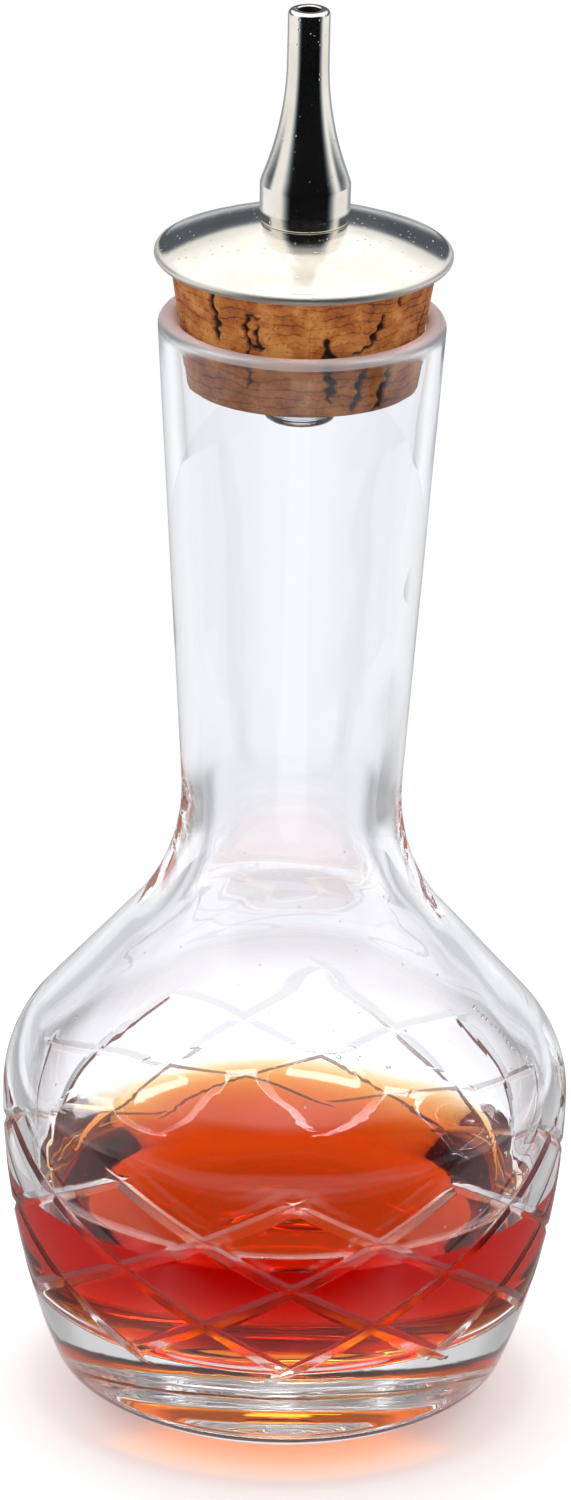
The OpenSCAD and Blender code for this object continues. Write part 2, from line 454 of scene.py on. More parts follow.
@dataclass(frozen=True)
class NaturalCork:
    """Natural cork, punched and sanded: warm tan with wavy growth lines, specks and dark open pores."""

    name: str = "natural_cork_punched"
    pale: str = "#DB944C"
    warm: str = "#BE6C28"
    tan: str = "#934612"
    line: str = "#52240B"
    pore: str = "#1E0C06"
    patch_mm: float = 3.5
    growth_mm: float = 1.05
    growth_line: Point = (0.02, 0.13)
    growth_breaks: Point = (0.36, 0.6)
    growth_shares: Point = (0.95, 0.15)
    wave_mm: float = 4.5
    wander: float = 2.6
    speck_mm: float = 0.35
    speck_range: Point = (0.56, 0.75)
    speck_share: float = 0.6
    bump: float = 0.6
    bump_mm: float = 0.12
    roughness: float = 0.72
    ior: float = 1.45

    def build(self) -> bpy.types.Material:
        """Builds the material.

        Returns:
            The new material.
        """
        made, tree, out = new_material(self.name)
        coords = add_node(tree, "ShaderNodeTexCoord")
        patches = add_node(
            tree,
            "ShaderNodeTexNoise",
            {"Vector": coords.outputs["Object"]},
            {"Scale": 1 / (self.patch_mm * MM), "Detail": 6.0, "Roughness": 0.65},
        )
        ground = set_stops(
            add_node(tree, "ShaderNodeValToRGB", {"Fac": patches.outputs["Fac"]}),
            [(0.34, self.tan), (0.5, self.warm), (0.66, self.pale)],
        )
        bend = add_node(
            tree,
            "ShaderNodeTexNoise",
            {"Vector": coords.outputs["Object"]},
            {"Scale": 1 / (self.wave_mm * MM), "Detail": 4.0, "Roughness": 0.55},
        )
        parts = add_node(tree, "ShaderNodeSeparateXYZ", {"Vector": coords.outputs["Object"]})
        rise = joined(tree, parts.outputs["Z"], 1 / (self.growth_mm * MM), "MULTIPLY")
        levels = add_node(
            tree,
            "ShaderNodeMath",
            {0: bend.outputs["Fac"], 2: rise},
            {1: self.wander},
            operation="MULTIPLY_ADD",
        )
        share = add_node(tree, "ShaderNodeMath", {0: levels.outputs[0]}, operation="FRACT")
        off = joined(tree, share.outputs[0], 0.5, "SUBTRACT")
        gap = add_node(tree, "ShaderNodeMath", {0: off}, operation="ABSOLUTE")
        limits = ("From Min", "From Max", "To Min", "To Max")
        line_limits = dict(zip(limits, (*self.growth_line, 1.0, 0.0), strict=True))
        line = add_node(tree, "ShaderNodeMapRange", {"Value": gap.outputs[0]}, line_limits)
        break_limits = dict(zip(limits, (*self.growth_breaks, *self.growth_shares), strict=True))
        broken = add_node(tree, "ShaderNodeMapRange", {"Value": patches.outputs["Fac"]}, break_limits)
        growth_mask = add_node(
            tree, "ShaderNodeMapRange", {"Value": line.outputs["Result"], "To Max": broken.outputs["Result"]}
        )
        lined = add_node(
            tree,
            "ShaderNodeMix",
            {0: growth_mask.outputs["Result"], 6: ground.outputs["Color"]},
            {7: linear(self.line)},
            data_type="RGBA",
        )
        specks = add_node(
            tree,
            "ShaderNodeTexNoise",
            {"Vector": coords.outputs["Object"]},
            {"Scale": 1 / (self.speck_mm * MM), "Detail": 2.0},
        )
        speck_limits = dict(zip(limits, (*self.speck_range, 0.0, self.speck_share), strict=True))
        speck_mask = add_node(tree, "ShaderNodeMapRange", {"Value": specks.outputs["Fac"]}, speck_limits)
        specked = add_node(
            tree,
            "ShaderNodeMix",
            {0: speck_mask.outputs["Result"], 6: lined.outputs[2]},
            {7: linear(self.line)},
            data_type="RGBA",
        )
        pore = add_node(tree, "ShaderNodeAttribute", attribute_name="pore")
        coloured = add_node(
            tree,
            "ShaderNodeMix",
            {0: pore.outputs["Fac"], 6: specked.outputs[2]},
            {7: linear(self.pore)},
            data_type="RGBA",
        )
        height = joined(tree, specks.outputs["Fac"], growth_mask.outputs["Result"], "SUBTRACT")
        depth = {"Strength": self.bump, "Distance": self.bump_mm * MM}
        bump = add_node(tree, "ShaderNodeBump", {"Height": height}, depth)
        shader = add_node(
            tree,
            "ShaderNodeBsdfPrincipled",
            {"Base Color": coloured.outputs[2], "Normal": bump.outputs["Normal"]},
            {"Roughness": self.roughness, "IOR": self.ior},
        )
        tree.links.new(shader.outputs["BSDF"], out.inputs["Surface"])
        return made


@dataclass(frozen=True)
class WhiteTable:
    """White acrylic table, matt: it keeps the bottle's shade, and fades to white away from it.

    The warm tone in front of the foot stands in for light that falls through the bitters. In the
    glass and the metal the table looks dark in front and at the sides, as under black cards.
    """

    name: str = "white_acrylic_matt"
    colour: str = "#F7F6F5"
    lift: float = 0.42
    glow: str = "#F2A070"
    glow_edge: str = "#A8948D"
    glow_stop: float = 0.42
    plain: str = "#9C9A9B"
    glow_from_mm: float = 23.0
    glow_to_mm: float = 32.0
    glow_turn: Fade = Fade(0.9, 0.35)
    # Painted glow: under the foot the table shines in the glass and the metal, though no lamp is there.
    painted_glow_under_foot: float = 0.2
    under_mm: float = 27.0
    under_soft_mm: float = 3.0
    fade_from_mm: float = 45.0
    fade_to_mm: float = 150.0
    card_from_mm: float = 34.0
    card_to_mm: float = 60.0
    card_end_mm: float = 130.0
    card_end_soft_mm: float = 30.0
    front_card: float = 0.98
    side_from_mm: float = 28.0
    side_to_mm: float = 42.0
    side_card: float = 0.72
    far_side_from_mm: float = 33.0
    far_side_to_mm: float = 65.0
    far_side_end_mm: float = 190.0
    far_side_soft_mm: float = 45.0
    far_side_card: float = 0.55

    def build(self) -> bpy.types.Material:
        """Builds the material.

        Returns:
            The new material.
        """
        made, tree, out = new_material(self.name)
        path = add_node(tree, "ShaderNodeLightPath")
        coords = add_node(tree, "ShaderNodeTexCoord")
        parts = add_node(tree, "ShaderNodeSeparateXYZ", {"Vector": coords.outputs["Object"]})
        away = add_node(tree, "ShaderNodeVectorMath", {0: coords.outputs["Object"]}, operation="LENGTH")
        both = partial(joined, tree)
        kinds = ("Camera", "Glossy", "Transmission")
        camera, glossy, sent = (path.outputs[f"Is {kind} Ray"] for kind in kinds)

        def ramp(value: bpy.types.NodeSocket, start: float, end: float) -> bpy.types.NodeSocket:
            """Rises softly from 0 to 1 between two places in millimetres."""
            return Fade(start * MM, end * MM).of(tree, value)

        seen = both(camera, glossy, "MAXIMUM")
        share = both(ramp(away.outputs["Value"], self.fade_from_mm, self.fade_to_mm), seen, "MULTIPLY")
        # Painted glow under the foot, seen only in the glass and the metal.
        foot = ramp(away.outputs["Value"], self.under_mm + self.under_soft_mm, self.under_mm)
        under = both(foot, self.painted_glow_under_foot, "MULTIPLY")
        mirrored = both(glossy, camera, "SUBTRACT")
        straight = both(camera, sent, "MAXIMUM")
        reflected = both(glossy, sent, "GREATER_THAN")
        through = both(both(straight, camera, "SUBTRACT"), self.lift, "MULTIPLY")
        lifted = both(both(both(under, mirrored, "MULTIPLY"), through, "ADD"), camera, "ADD")
        diffuse = add_node(tree, "ShaderNodeBsdfDiffuse", None, {"Color": linear(self.colour)})
        ahead = both(parts.outputs["Y"], -1.0, "MULTIPLY")
        aside = self.glow_turn.of(tree, both(ahead, away.outputs["Value"], "DIVIDE"))
        past_glow = ramp(away.outputs["Value"], self.glow_from_mm, self.glow_to_mm)
        rosy = set_stops(
            add_node(tree, "ShaderNodeValToRGB", {"Fac": both(past_glow, aside, "MAXIMUM")}),
            [(0.0, self.glow), (self.glow_stop, self.glow_edge), (1.0, self.plain)],
        )
        tone = add_node(
            tree,
            "ShaderNodeMix",
            {0: camera, 7: rosy.outputs["Color"]},
            {6: linear("#FFFFFF")},
            data_type="RGBA",
        )
        glow = add_node(tree, "ShaderNodeEmission", {"Strength": lifted, "Color": tone.outputs[2]})
        near = add_node(tree, "ShaderNodeAddShader", {0: diffuse.outputs[0], 1: glow.outputs[0]})
        white = add_node(tree, "ShaderNodeEmission")
        wide = add_node(tree, "ShaderNodeMixShader", {0: share, 1: near.outputs[0], 2: white.outputs[0]})
        starts = ramp(ahead, self.card_from_mm, self.card_to_mm)
        ends = ramp(ahead, self.card_end_mm, self.card_end_mm - self.card_end_soft_mm)
        front = both(starts, ends, "MULTIPLY")
        sideways = add_node(tree, "ShaderNodeMath", {0: parts.outputs["X"]}, operation="ABSOLUTE").outputs[0]
        beside = both(ramp(sideways, self.side_from_mm, self.side_to_mm), reflected, "MULTIPLY")
        far_soft = self.far_side_end_mm - self.far_side_soft_mm
        near_by = ramp(away.outputs["Value"], self.far_side_end_mm, far_soft)
        past = both(ramp(sideways, self.far_side_from_mm, self.far_side_to_mm), near_by, "MULTIPLY")
        beyond = both(both(past, self.far_side_card, "MULTIPLY"), sent, "MULTIPLY")
        sides = both(both(beside, self.side_card, "MULTIPLY"), beyond, "MAXIMUM")
        first_light = both(path.outputs["Diffuse Depth"], 0.5, "LESS_THAN")
        cards = both(both(front, self.front_card, "MULTIPLY"), sides, "MAXIMUM")
        carded = both(both(cards, mirrored, "MULTIPLY"), first_light, "MULTIPLY")
        card = add_node(tree, "ShaderNodeEmission", None, {"Strength": 0.0})
        mixed = add_node(tree, "ShaderNodeMixShader", {0: carded, 1: wide.outputs[0], 2: card.outputs[0]})
        tree.links.new(mixed.outputs[0], out.inputs["Surface"])
        return made


# Profiles


def outward(angle: float) -> np.ndarray:
    """Unit vector square to a line that climbs at an angle in degrees, away from the glass."""
    turn = math.radians(angle)
    return np.array([math.sin(turn), -math.cos(turn)])


def along(angle: float) -> np.ndarray:
    """Unit vector along a line that climbs at an angle in degrees."""
    turn = math.radians(angle)
    return np.array([math.cos(turn), math.sin(turn)])


def cross2(a: np.ndarray, b: np.ndarray) -> float:
    """Signed area of the parallelogram on two plane vectors."""
    return float(a[0] * b[1] - a[1] * b[0])


def meet(p: np.ndarray, a: float, q: np.ndarray, b: float) -> np.ndarray:
    """Finds where two lines meet.

    Args:
        p: A point on the first line.
        a: Angle at which the first line climbs, in degrees.
        q: A point on the second line.
        b: Angle at which the second line climbs, in degrees.

    Returns:
        The point where they meet.
    """
    return p + along(a) * cross2(q - p, along(b)) / cross2(along(a), along(b))


def arc_rows(centre: np.ndarray, radius: float, start: float, end: float, step: float) -> Rows:
    """Points along an arc of a profile, without its first point.

    Args:
        centre: Centre of the arc.
        radius: Radius, negative for an arc that is hollow from outside.
        start: Direction in which the profile sets out, in degrees.
        end: Direction in which it ends.
        step: Longest distance between two points.

    Returns:
        Points as radius and height.
    """
    count = max(2, math.ceil(abs(radius) * abs(math.radians(end - start)) / step))
    return [tuple(centre + radius * outward(start + (end - start) * i / count)) for i in range(1, count + 1)]


def line_rows(a: Sequence[float], b: Sequence[float], step: float) -> Rows:
    """Points along a straight stretch of a profile, without its first point.

    Args:
        a: First end.
        b: Last end.
        step: Longest distance between two points.

    Returns:
        Points as radius and height.
    """
    start, end = np.array(a, float), np.array(b, float)
    count = max(1, math.ceil(float(np.hypot(*(end - start))) / step))
    return [tuple(start + (end - start) * i / count) for i in range(1, count + 1)]


# Meshes


def make_object(
    name: str,
    verts: np.ndarray,
    faces: list[tuple[int, ...]],
    materials: Sequence[bpy.types.Material],
    face_slots: Sequence[int] | None = None,
    marks: dict[str, np.ndarray] | None = None,
) -> bpy.types.Object:
    """Makes a smooth-shaded object from points in millimetres.

    Args:
        name: Name of the piece.
        verts: Points, one row each.
        faces: Corner numbers of each face.
        materials: Materials, in the order of their slots.
        face_slots: Slot of each face, or none for the first slot everywhere.
        marks: Named values, one for each point.

    Returns:
        The new object, linked to the scene.
    """
    mesh = bpy.data.meshes.new(name)
    mesh.from_pydata((verts * MM).tolist(), [], faces)
    for material in materials:
        mesh.materials.append(material)
    if face_slots is not None:
        mesh.polygons.foreach_set("material_index", np.asarray(face_slots, dtype=np.int32))
    for key, values in (marks or {}).items():
        layer = mesh.attributes.new(key, "FLOAT", "POINT")
        layer.data.foreach_set("value", np.asarray(values, dtype=np.float32))
    mesh.polygons.foreach_set("use_smooth", np.ones(len(mesh.polygons), dtype=bool))
    mesh.update()
    made = bpy.data.objects.new(name, mesh)
    bpy.context.scene.collection.objects.link(made)
    return made


def ring_faces(lower: int, upper: int, columns: int) -> list[tuple[int, ...]]:
    """Faces between two rings of points.

    Args:
        lower: Number of the first point of the lower ring.
        upper: Number of the first point of the upper ring.
        columns: Points in each ring.

    Returns:
        Four-cornered faces, facing out where the profile climbs.
    """
    out = []
    for c in range(columns):
        d = (c + 1) % columns
        out.append((lower + c, lower + d, upper + d, upper + c))
    return out


def tube_faces(first: int, rings: int, columns: int) -> list[tuple[int, ...]]:
    """Faces of a tube of rings, each joined to the next.

    Args:
        first: Number of the first point of the first ring.
        rings: How many rings the tube has.
        columns: Points in each ring.

    Returns:
        Four-cornered faces, facing out where the profile climbs.
    """
    out: list[tuple[int, ...]] = []
    for lower in range(first, first + (rings - 1) * columns, columns):
        out += ring_faces(lower, lower + columns, columns)
    return out


@dataclass
class Turned:
    """A piece turned on the bottle's axis from a profile that may be a closed loop."""

    name: str
    rows: Rows
    columns: int = 192
    loop: bool = False
    shift: Callable[[np.ndarray, np.ndarray, np.ndarray], np.ndarray] | None = None
    marks: dict[str, np.ndarray] = field(default_factory=dict)

    def grid(self) -> tuple[np.ndarray, np.ndarray, np.ndarray]:
        """Radius, height and turn of every ring point.

        Returns:
            Three flat arrays, ring by ring.
        """
        rows = np.array(self.rows, float)
        turns = np.linspace(0, 2 * math.pi, self.columns, endpoint=False)
        radius = np.repeat(rows[:, 0], self.columns)
        height = np.repeat(rows[:, 1], self.columns)
        return radius, height, np.tile(turns, len(rows))

    def build(self, material: bpy.types.Material) -> bpy.types.Object:
        """Builds the piece.

        Args:
            material: Material of the whole piece.

        Returns:
            The new object.
        """
        radius, height, turn = self.grid()
        if self.shift:
            radius = radius + self.shift(radius, height, turn)
        verts = np.stack([radius * np.sin(turn), -radius * np.cos(turn), height], -1)
        faces = tube_faces(0, len(self.rows), self.columns)
        if self.loop:
            faces += ring_faces((len(self.rows) - 1) * self.columns, 0, self.columns)
        made = make_object(self.name, verts, faces, [material], marks=self.marks)
        weld(made)
        return made


def weld(piece: bpy.types.Object) -> None:
    """Joins points that lie together, such as a ring of no width on the axis, and turns faces out.

    Args:
        piece: The object whose mesh is changed.
    """
    work = bmesh.new()
    work.from_mesh(piece.data)
    bmesh.ops.remove_doubles(work, verts=work.verts, dist=WELD_MM * MM)
    bmesh.ops.dissolve_degenerate(work, edges=work.edges, dist=WELD_MM * MM)
    bmesh.ops.recalc_face_normals(work, faces=work.faces)
    work.to_mesh(piece.data)
    work.free()
    piece.data.update()


def ripple(place: np.ndarray, wave: float, seed: float) -> np.ndarray:
    """Smooth unevenness, such as blown glass has.

    Args:
        place: Points in millimetres, one row each.
        wave: Length of its waves in millimetres.
        seed: Number that sets one unevenness apart from another.

    Returns:
        A value between about -1 and 1 for each point.
    """
    total = np.zeros(len(place))
    # Six waves that run at odd angles, each shorter and weaker than the one before.
    for k in range(1, 7):
        way = (math.sin(seed + 2.1 * k), math.cos(1.7 * seed + 3.3 * k), math.sin(0.7 * seed - 1.3 * k))
        size = 0.7 + 0.22 * k
        phase = place @ np.array(way) * (2 * math.pi * size / wave) + seed * k * 1.9
        total += np.sin(phase) / (0.8 + 0.5 * k)
    return total / 2.0


# Pieces


@dataclass
class CutGlassBottle:
    """The bottle: one blown wall with a heavy floor, a rounded lip and a band of crossed V cuts."""

    body_d: float = 62.4
    side_curve_r: float = 83.0
    heel_r: float = 4.2
    foot_curve_r: float = 17.2
    foot_angle: float = 36.0
    heel_angle: float = 68.5
    punt_d: float = 17.0
    punt_depth: float = 0.8
    punt_rings: int = 10
    shoulder_r: float = 13.2
    shoulder_slope: float = 49.0
    neck_curve_r: float = 22.5
    neck_lean: float = 3.7
    mouth_d: float = 30.9
    glass_h: float = 125.8
    floor_t: float = 12.3
    body_wall: float = 2.8
    neck_wall: float = 2.24
    floor_corner_r: float = 7.0
    fill_depth: float = 13.7
    wet_edge: float = 0.5

    cuts_around: int = 10
    cells_down: int = 4
    cut_drop: float = 0.3
    cut_band_h: float = 21.2
    cut_w: float = 1.55
    cut_depth: float = 0.33
    cut_turn: float = 2.3
    cut_drift: float = 5.5
    cut_fade: float = 0.035
    cut_edge: float = 0.05
    cut_w_spread: float = 0.07
    cut_fade_spread: float = 0.5
    cut_depth_spread: float = 0.08
    cell_steps: tuple[float, ...] = (0.16, 0.22, 0.29, 0.36, 0.43)

    row_step: float = 0.8
    lip_step: float = 0.25
    calm_r: float = 6.0
    lip_drop: float = 0.9
    ripple_in: float = 0.10
    ripple_out: float = 0.02
    ripple_wave: float = 26.0
    seed_in: float = 5.0
    seed_out: float = 2.0

    def __post_init__(self) -> None:
        """Works out the points that the profile turns on."""
        self.shoulder_dir = 180 - self.shoulder_slope
        self.neck_dir = UPRIGHT - self.neck_lean
        foot = self.foot_curve_r * (outward(self.foot_angle) - outward(0))
        heel = self.heel_r * (outward(self.heel_angle) - outward(self.foot_angle))
        side = self.side_curve_r * (outward(UPRIGHT) - outward(self.heel_angle))
        run = foot + heel + side
        self.widest = np.array([self.body_d / 2, run[1]])
        self.foot_start = np.array([self.widest[0] - run[0], 0.0])
        self.side_start = self.foot_start + foot + heel
        self.side_centre = self.widest - [self.side_curve_r, 0]
        self.shoulder_centre = self.widest - [self.shoulder_r, 0]
        self.lip_r = self.neck_wall / 2
        self.lip_centre = np.array([self.mouth_d / 2 - self.lip_r, self.glass_h - self.lip_r])
        self.mouth_edge = self.lip_centre + self.lip_r * outward(self.neck_dir)
        self.band_top = self.widest[1] - self.cut_drop
        self.fill_z = self.floor_t + self.fill_depth
        self.cell = self.cell_marks()
        self.columns = self.cuts_around * len(self.cell)

    def cell_marks(self) -> np.ndarray:
        """Where the grid lines lie in one cell of the lattice, close along the V and wide between.

        Returns:
            Shares of the cell, from 0 up to but not with 1.
        """
        spacing = 2 * math.pi * self.body_d / 2 / self.cuts_around
        slope = math.atan2(self.cut_band_h, self.cells_down / 2 * spacing)
        self.half_cut = self.cut_w / 2 / (spacing * math.sin(slope))
        edge = self.half_cut
        half = [0, 0.1 * edge, 0.5 * edge, 0.9 * edge, edge, 1.1 * edge, 1.5 * edge, *self.cell_steps]
        return np.array(half + [0.5] + [1 - value for value in reversed(half[1:])])

    def upper_rows(self, t_body: float, t_neck: float) -> Rows:
        """Profile of the shoulder, the sweep and the neck of a surface inside the outer one.

        Args:
            t_body: How far inside it lies on the body.
            t_neck: How far inside it lies on the neck.

        Returns:
            Points from the widest line, which is left out, to the mouth.
        """
        low, high = self.shoulder_dir, self.neck_dir
        sweep_r = self.neck_curve_r + t_neck
        end = self.shoulder_centre + (self.shoulder_r - t_body) * outward(low)
        mouth = self.mouth_edge - t_neck * outward(high)
        centre = meet(end + sweep_r * outward(low), low, mouth + sweep_r * outward(high), high)
        rows = arc_rows(self.shoulder_centre, self.shoulder_r - t_body, UPRIGHT, low, self.row_step)
        rows += line_rows(rows[-1], centre - sweep_r * outward(low), self.row_step)
        rows += arc_rows(centre, -sweep_r, low, high, self.row_step)
        return rows + line_rows(rows[-1], mouth, self.row_step)

    def outer_rows(self) -> Rows:
        """Outer profile from the middle of the punt to the mouth.

        Returns:
            Points as radius and height.
        """
        rows: Rows = [(0.0, self.punt_depth)]
        half = self.punt_d / 2
        for i in range(1, self.punt_rings + 1):
            share = i / self.punt_rings
            rows.append((half * share, self.punt_depth * (1 - share * share)))
        rows += line_rows(rows[-1], self.foot_start, self.row_step)
        foot_centre = self.foot_start + [0, self.foot_curve_r]
        rows += arc_rows(foot_centre, self.foot_curve_r, 0, self.foot_angle, self.row_step)
        heel_centre = self.side_start - self.heel_r * outward(self.heel_angle)
        rows += arc_rows(heel_centre, self.heel_r, self.foot_angle, self.heel_angle, self.row_step / 2)
        rows += arc_rows(self.side_centre, self.side_curve_r, self.heel_angle, UPRIGHT, self.row_step)
        return rows + self.upper_rows(0, 0)

    def inner_rows(self) -> Rows:
        """Inner profile from the middle of the floor to the mouth.

        Returns:
            Points as radius and height, with one ring at the wet edge.
        """
        side_r = self.side_curve_r - self.body_wall
        corner_r = self.floor_corner_r
        rise = self.floor_t + corner_r - self.side_centre[1]
        centre = np.array([self.side_centre[0] + math.sqrt((side_r - corner_r) ** 2 - rise**2), 0.0])
        centre[1] = self.floor_t + corner_r
        away = centre - self.side_centre
        corner_dir = UPRIGHT + math.degrees(math.atan2(away[1], away[0]))
        rows: Rows = [(0.0, self.floor_t)]
        rows += line_rows(rows[0], (centre[0], self.floor_t), self.row_step)
        rows += arc_rows(centre, corner_r, 0, corner_dir, self.row_step / 2)
        rows += arc_rows(self.side_centre, side_r, corner_dir, UPRIGHT, self.row_step)
        rows += self.upper_rows(self.body_wall, self.neck_wall)
        wet = self.fill_z + self.wet_edge
        heights = np.array([z for _, z in rows])
        above = int(np.argmax(heights > wet + 0.1))
        share = (wet - rows[above - 1][1]) / (rows[above][1] - rows[above - 1][1])
        radius = rows[above - 1][0] + share * (rows[above][0] - rows[above - 1][0])
        return rows[:above] + [(radius, wet)] + rows[above:]

    def lip_rows(self) -> Rows:
        """Round of the lip from the outer wall over the top to the inner wall, without its ends."""
        return arc_rows(self.lip_centre, self.lip_r, self.neck_dir, self.neck_dir + 180, self.lip_step)[:-1]

    def turn_of(self, place: np.ndarray) -> np.ndarray:
        """Azimuth from the front of a place on the lattice, with the uneven spacing of hand cutting.

        Args:
            place: Places round the lattice, counted in cells.

        Returns:
            Azimuths in radians.
        """
        even = self.cut_turn + 360 / self.cuts_around * place
        drift = self.cut_drift * (1 - np.cos(np.radians(even)))
        return np.radians(even - drift)

    def column_turns(self) -> np.ndarray:
        """Places the columns of the mesh.

        Returns:
            Azimuth of every column, in radians.
        """
        index = np.arange(self.columns)
        per = len(self.cell)
        return self.turn_of(index // per + self.cell[index % per] + 0.5)

    @staticmethod
    def place(radius: np.ndarray, height: np.ndarray, turn: np.ndarray) -> np.ndarray:
        """Points from radius, height and azimuth, one row each."""
        return np.stack([radius * np.sin(turn), -radius * np.cos(turn), height + 0 * turn], -1)

    def rings(self, rows: Rows, depth: float, seed: float, inset: float = 0.0) -> np.ndarray:
        """Rings of points along a profile, with the unevenness of blown glass.

        Args:
            rows: The profile.
            depth: Greatest unevenness in millimetres.
            seed: Number that sets one surface's unevenness apart.
            inset: Distance by which the surface is drawn in towards the axis side.

        Returns:
            Points, ring by ring.
        """
        profile = np.array(rows, float)
        tangent = np.gradient(profile, axis=0)
        tangent /= np.hypot(*tangent.T)[:, None] + 1e-12
        normal = np.stack([tangent[:, 1], -tangent[:, 0]], -1)
        turns = self.column_turns()
        out = []
        for (radius, height), (nr, nz) in zip(profile, normal, strict=True):
            ring = self.place(np.full(self.columns, radius), np.full(self.columns, height), turns)
            calm = min(1.0, radius / self.calm_r)
            push = depth * calm * ripple(ring, self.ripple_wave, seed) - inset
            if radius == 0:
                push = np.full(self.columns, -inset)
                nr, nz = 0.0, -1.0
            out.append(self.place(radius + push * nr, height + push * nz, turns))
        return np.concatenate(out)

    def cut_at(self, a: np.ndarray, b: np.ndarray, share: np.ndarray) -> tuple[np.ndarray, np.ndarray]:
        """Depth of the cuts at places on the lattice.

        Args:
            a: Places counted across the lines that fall to the right.
            b: Places counted across the lines that fall to the left.
            share: Share of the band's height, from 0 at the top points to 1 at the bottom ones.

        Returns:
            Depth in millimetres, and how much of each place lies in a cut.
        """
        depth = np.zeros_like(a)
        # Hand cutting leaves no two lines alike. The sines give each its own width, ends and depth.
        for family, across in enumerate((a, b)):
            line = np.round(across) % self.cuts_around
            width = self.half_cut * (1 + self.cut_w_spread * np.sin(5.1 * line + 2 * family))
            reach = self.cut_fade * (1 + self.cut_fade_spread * np.sin(3.7 * line + family))
            top = np.clip((share + reach) / (1.4 * self.cut_fade), 0, 1)
            foot = np.clip((1 + reach - share) / (1.4 * self.cut_fade), 0, 1)
            full = self.cut_depth * (1 + self.cut_depth_spread * np.sin(2.3 * line + 4 * family))
            off = np.abs(across - np.round(across)) / width
            depth = np.maximum(depth, full * np.clip(top * foot - off, 0, 1))
        return depth, np.clip(depth / self.cut_edge, 0, 1)

    def lattice_patch(self) -> tuple[np.ndarray, np.ndarray]:
        """Points of the cut band between its bottom ring and its top ring.

        The grid runs along both families of lines, so that every edge of every V is sharp.

        Returns:
            The points, and how much of each lies in a cut.
        """
        per = len(self.cell)
        across = np.arange(self.columns)
        steps = np.arange(-per + 1, (self.cells_down + 1) * per)
        i, d = np.meshgrid(across, steps, indexing="ij")
        j = i + d
        a = i // per + self.cell[i % per]
        b = np.floor_divide(j, per) + self.cell[np.mod(j, per)]
        share = (b - a) / self.cells_down
        height = self.band_top - self.cut_band_h * share
        profile = np.array(self.outer_rows(), float)
        climb = profile[:, 1] > 0.5
        radius = np.interp(height, profile[climb, 1], profile[climb, 0])
        slope = np.gradient(profile[climb, 0], profile[climb, 1])
        lean = np.interp(height, profile[climb, 1], slope)
        size = np.sqrt(1 + lean**2)
        turn = self.turn_of((a + b) / 2)
        depth, inside = self.cut_at(a, b, share)
        flat = self.place(radius.ravel(), height.ravel(), turn.ravel())
        wave = ripple(flat, self.ripple_wave, self.seed_out).reshape(a.shape)
        push = self.ripple_out * wave - depth
        radius, height = radius + push / size, height - push * lean / size
        return self.place(radius.ravel(), height.ravel(), turn.ravel()), inside.ravel()

    def patch_faces(self, base: int, bottom: int, top: int) -> list[tuple[int, ...]]:
        """Faces of the cut band.

        Args:
            base: Number of the patch's first point.
            bottom: Number of the first point of the ring under the band.
            top: Number of the first point of the ring over the band.

        Returns:
            Faces that join the patch to both rings.
        """
        per = len(self.cell)
        low, high = -per, (self.cells_down + 1) * per
        tall = high - low - 1

        def point(i: int, j: int) -> int:
            """Finds a point of the patch or of the rings that it joins.

            Args:
                i: Number of its grid line in the family that falls to the right.
                j: Number of its grid line in the other family.

            Returns:
                The point's number in the mesh.
            """
            d = j - i
            if d == low:
                return top + (i - per) % self.columns
            if d == high:
                return bottom + (i + self.cells_down // 2 * per) % self.columns
            return base + (i % self.columns) * tall + (d - low - 1)

        faces: list[tuple[int, ...]] = []
        for i in range(self.columns):
            for d in range(low, high + 1):
                j = i + d
                here, right, far, left = point(i, j), 0, point(i + 1, j + 1), 0
                if d > low:
                    right = point(i + 1, j)
                if d < high:
                    left = point(i, j + 1)
                if d == low:
                    faces.append((here, left, far))
                elif d == high:
                    faces.append((here, far, right))
                else:
                    # The diagonal points at the nearest crossing, so the corners of the cuts stay sharp.
                    fa = self.cell[i % per] + 0.5 / per
                    fb = self.cell[j % per] + 0.5 / per
                    if (fa < 0.5) == (fb < 0.5):
                        faces += [(here, left, far), (here, far, right)]
                    else:
                        faces += [(here, left, right), (left, far, right)]
        return faces

    def build(
        self, glass: bpy.types.Material, wetted: bpy.types.Material, satin: bpy.types.Material
    ) -> bpy.types.Object:
        """Builds the bottle as one closed skin.

        Args:
            glass: Material of the glass against air.
            wetted: Material of the glass against the bitters.
            satin: Material of the glass where the lip is ground.

        Returns:
            The bottle, which stands for the node of that name.
        """
        outer = self.outer_rows()
        # The patch reaches one cell past the points of the band, above and below.
        past = self.cut_band_h / self.cells_down
        band_low = self.band_top - self.cut_band_h - past
        band_high = self.band_top + past
        heights = [z for _, z in outer]
        radii = [r for r, _ in outer]
        start = next(k for k, z in enumerate(heights) if z > band_low)
        stop = next(k for k, z in enumerate(heights) if z > band_high)

        def ring_at(z: float) -> Point:
            """Finds the point of the outer profile at a height.

            Args:
                z: The height.

            Returns:
                Its radius and height.
            """
            k = next(k for k, height in enumerate(heights) if height > z)
            share = (z - heights[k - 1]) / (heights[k] - heights[k - 1])
            return radii[k - 1] + share * (radii[k] - radii[k - 1]), z

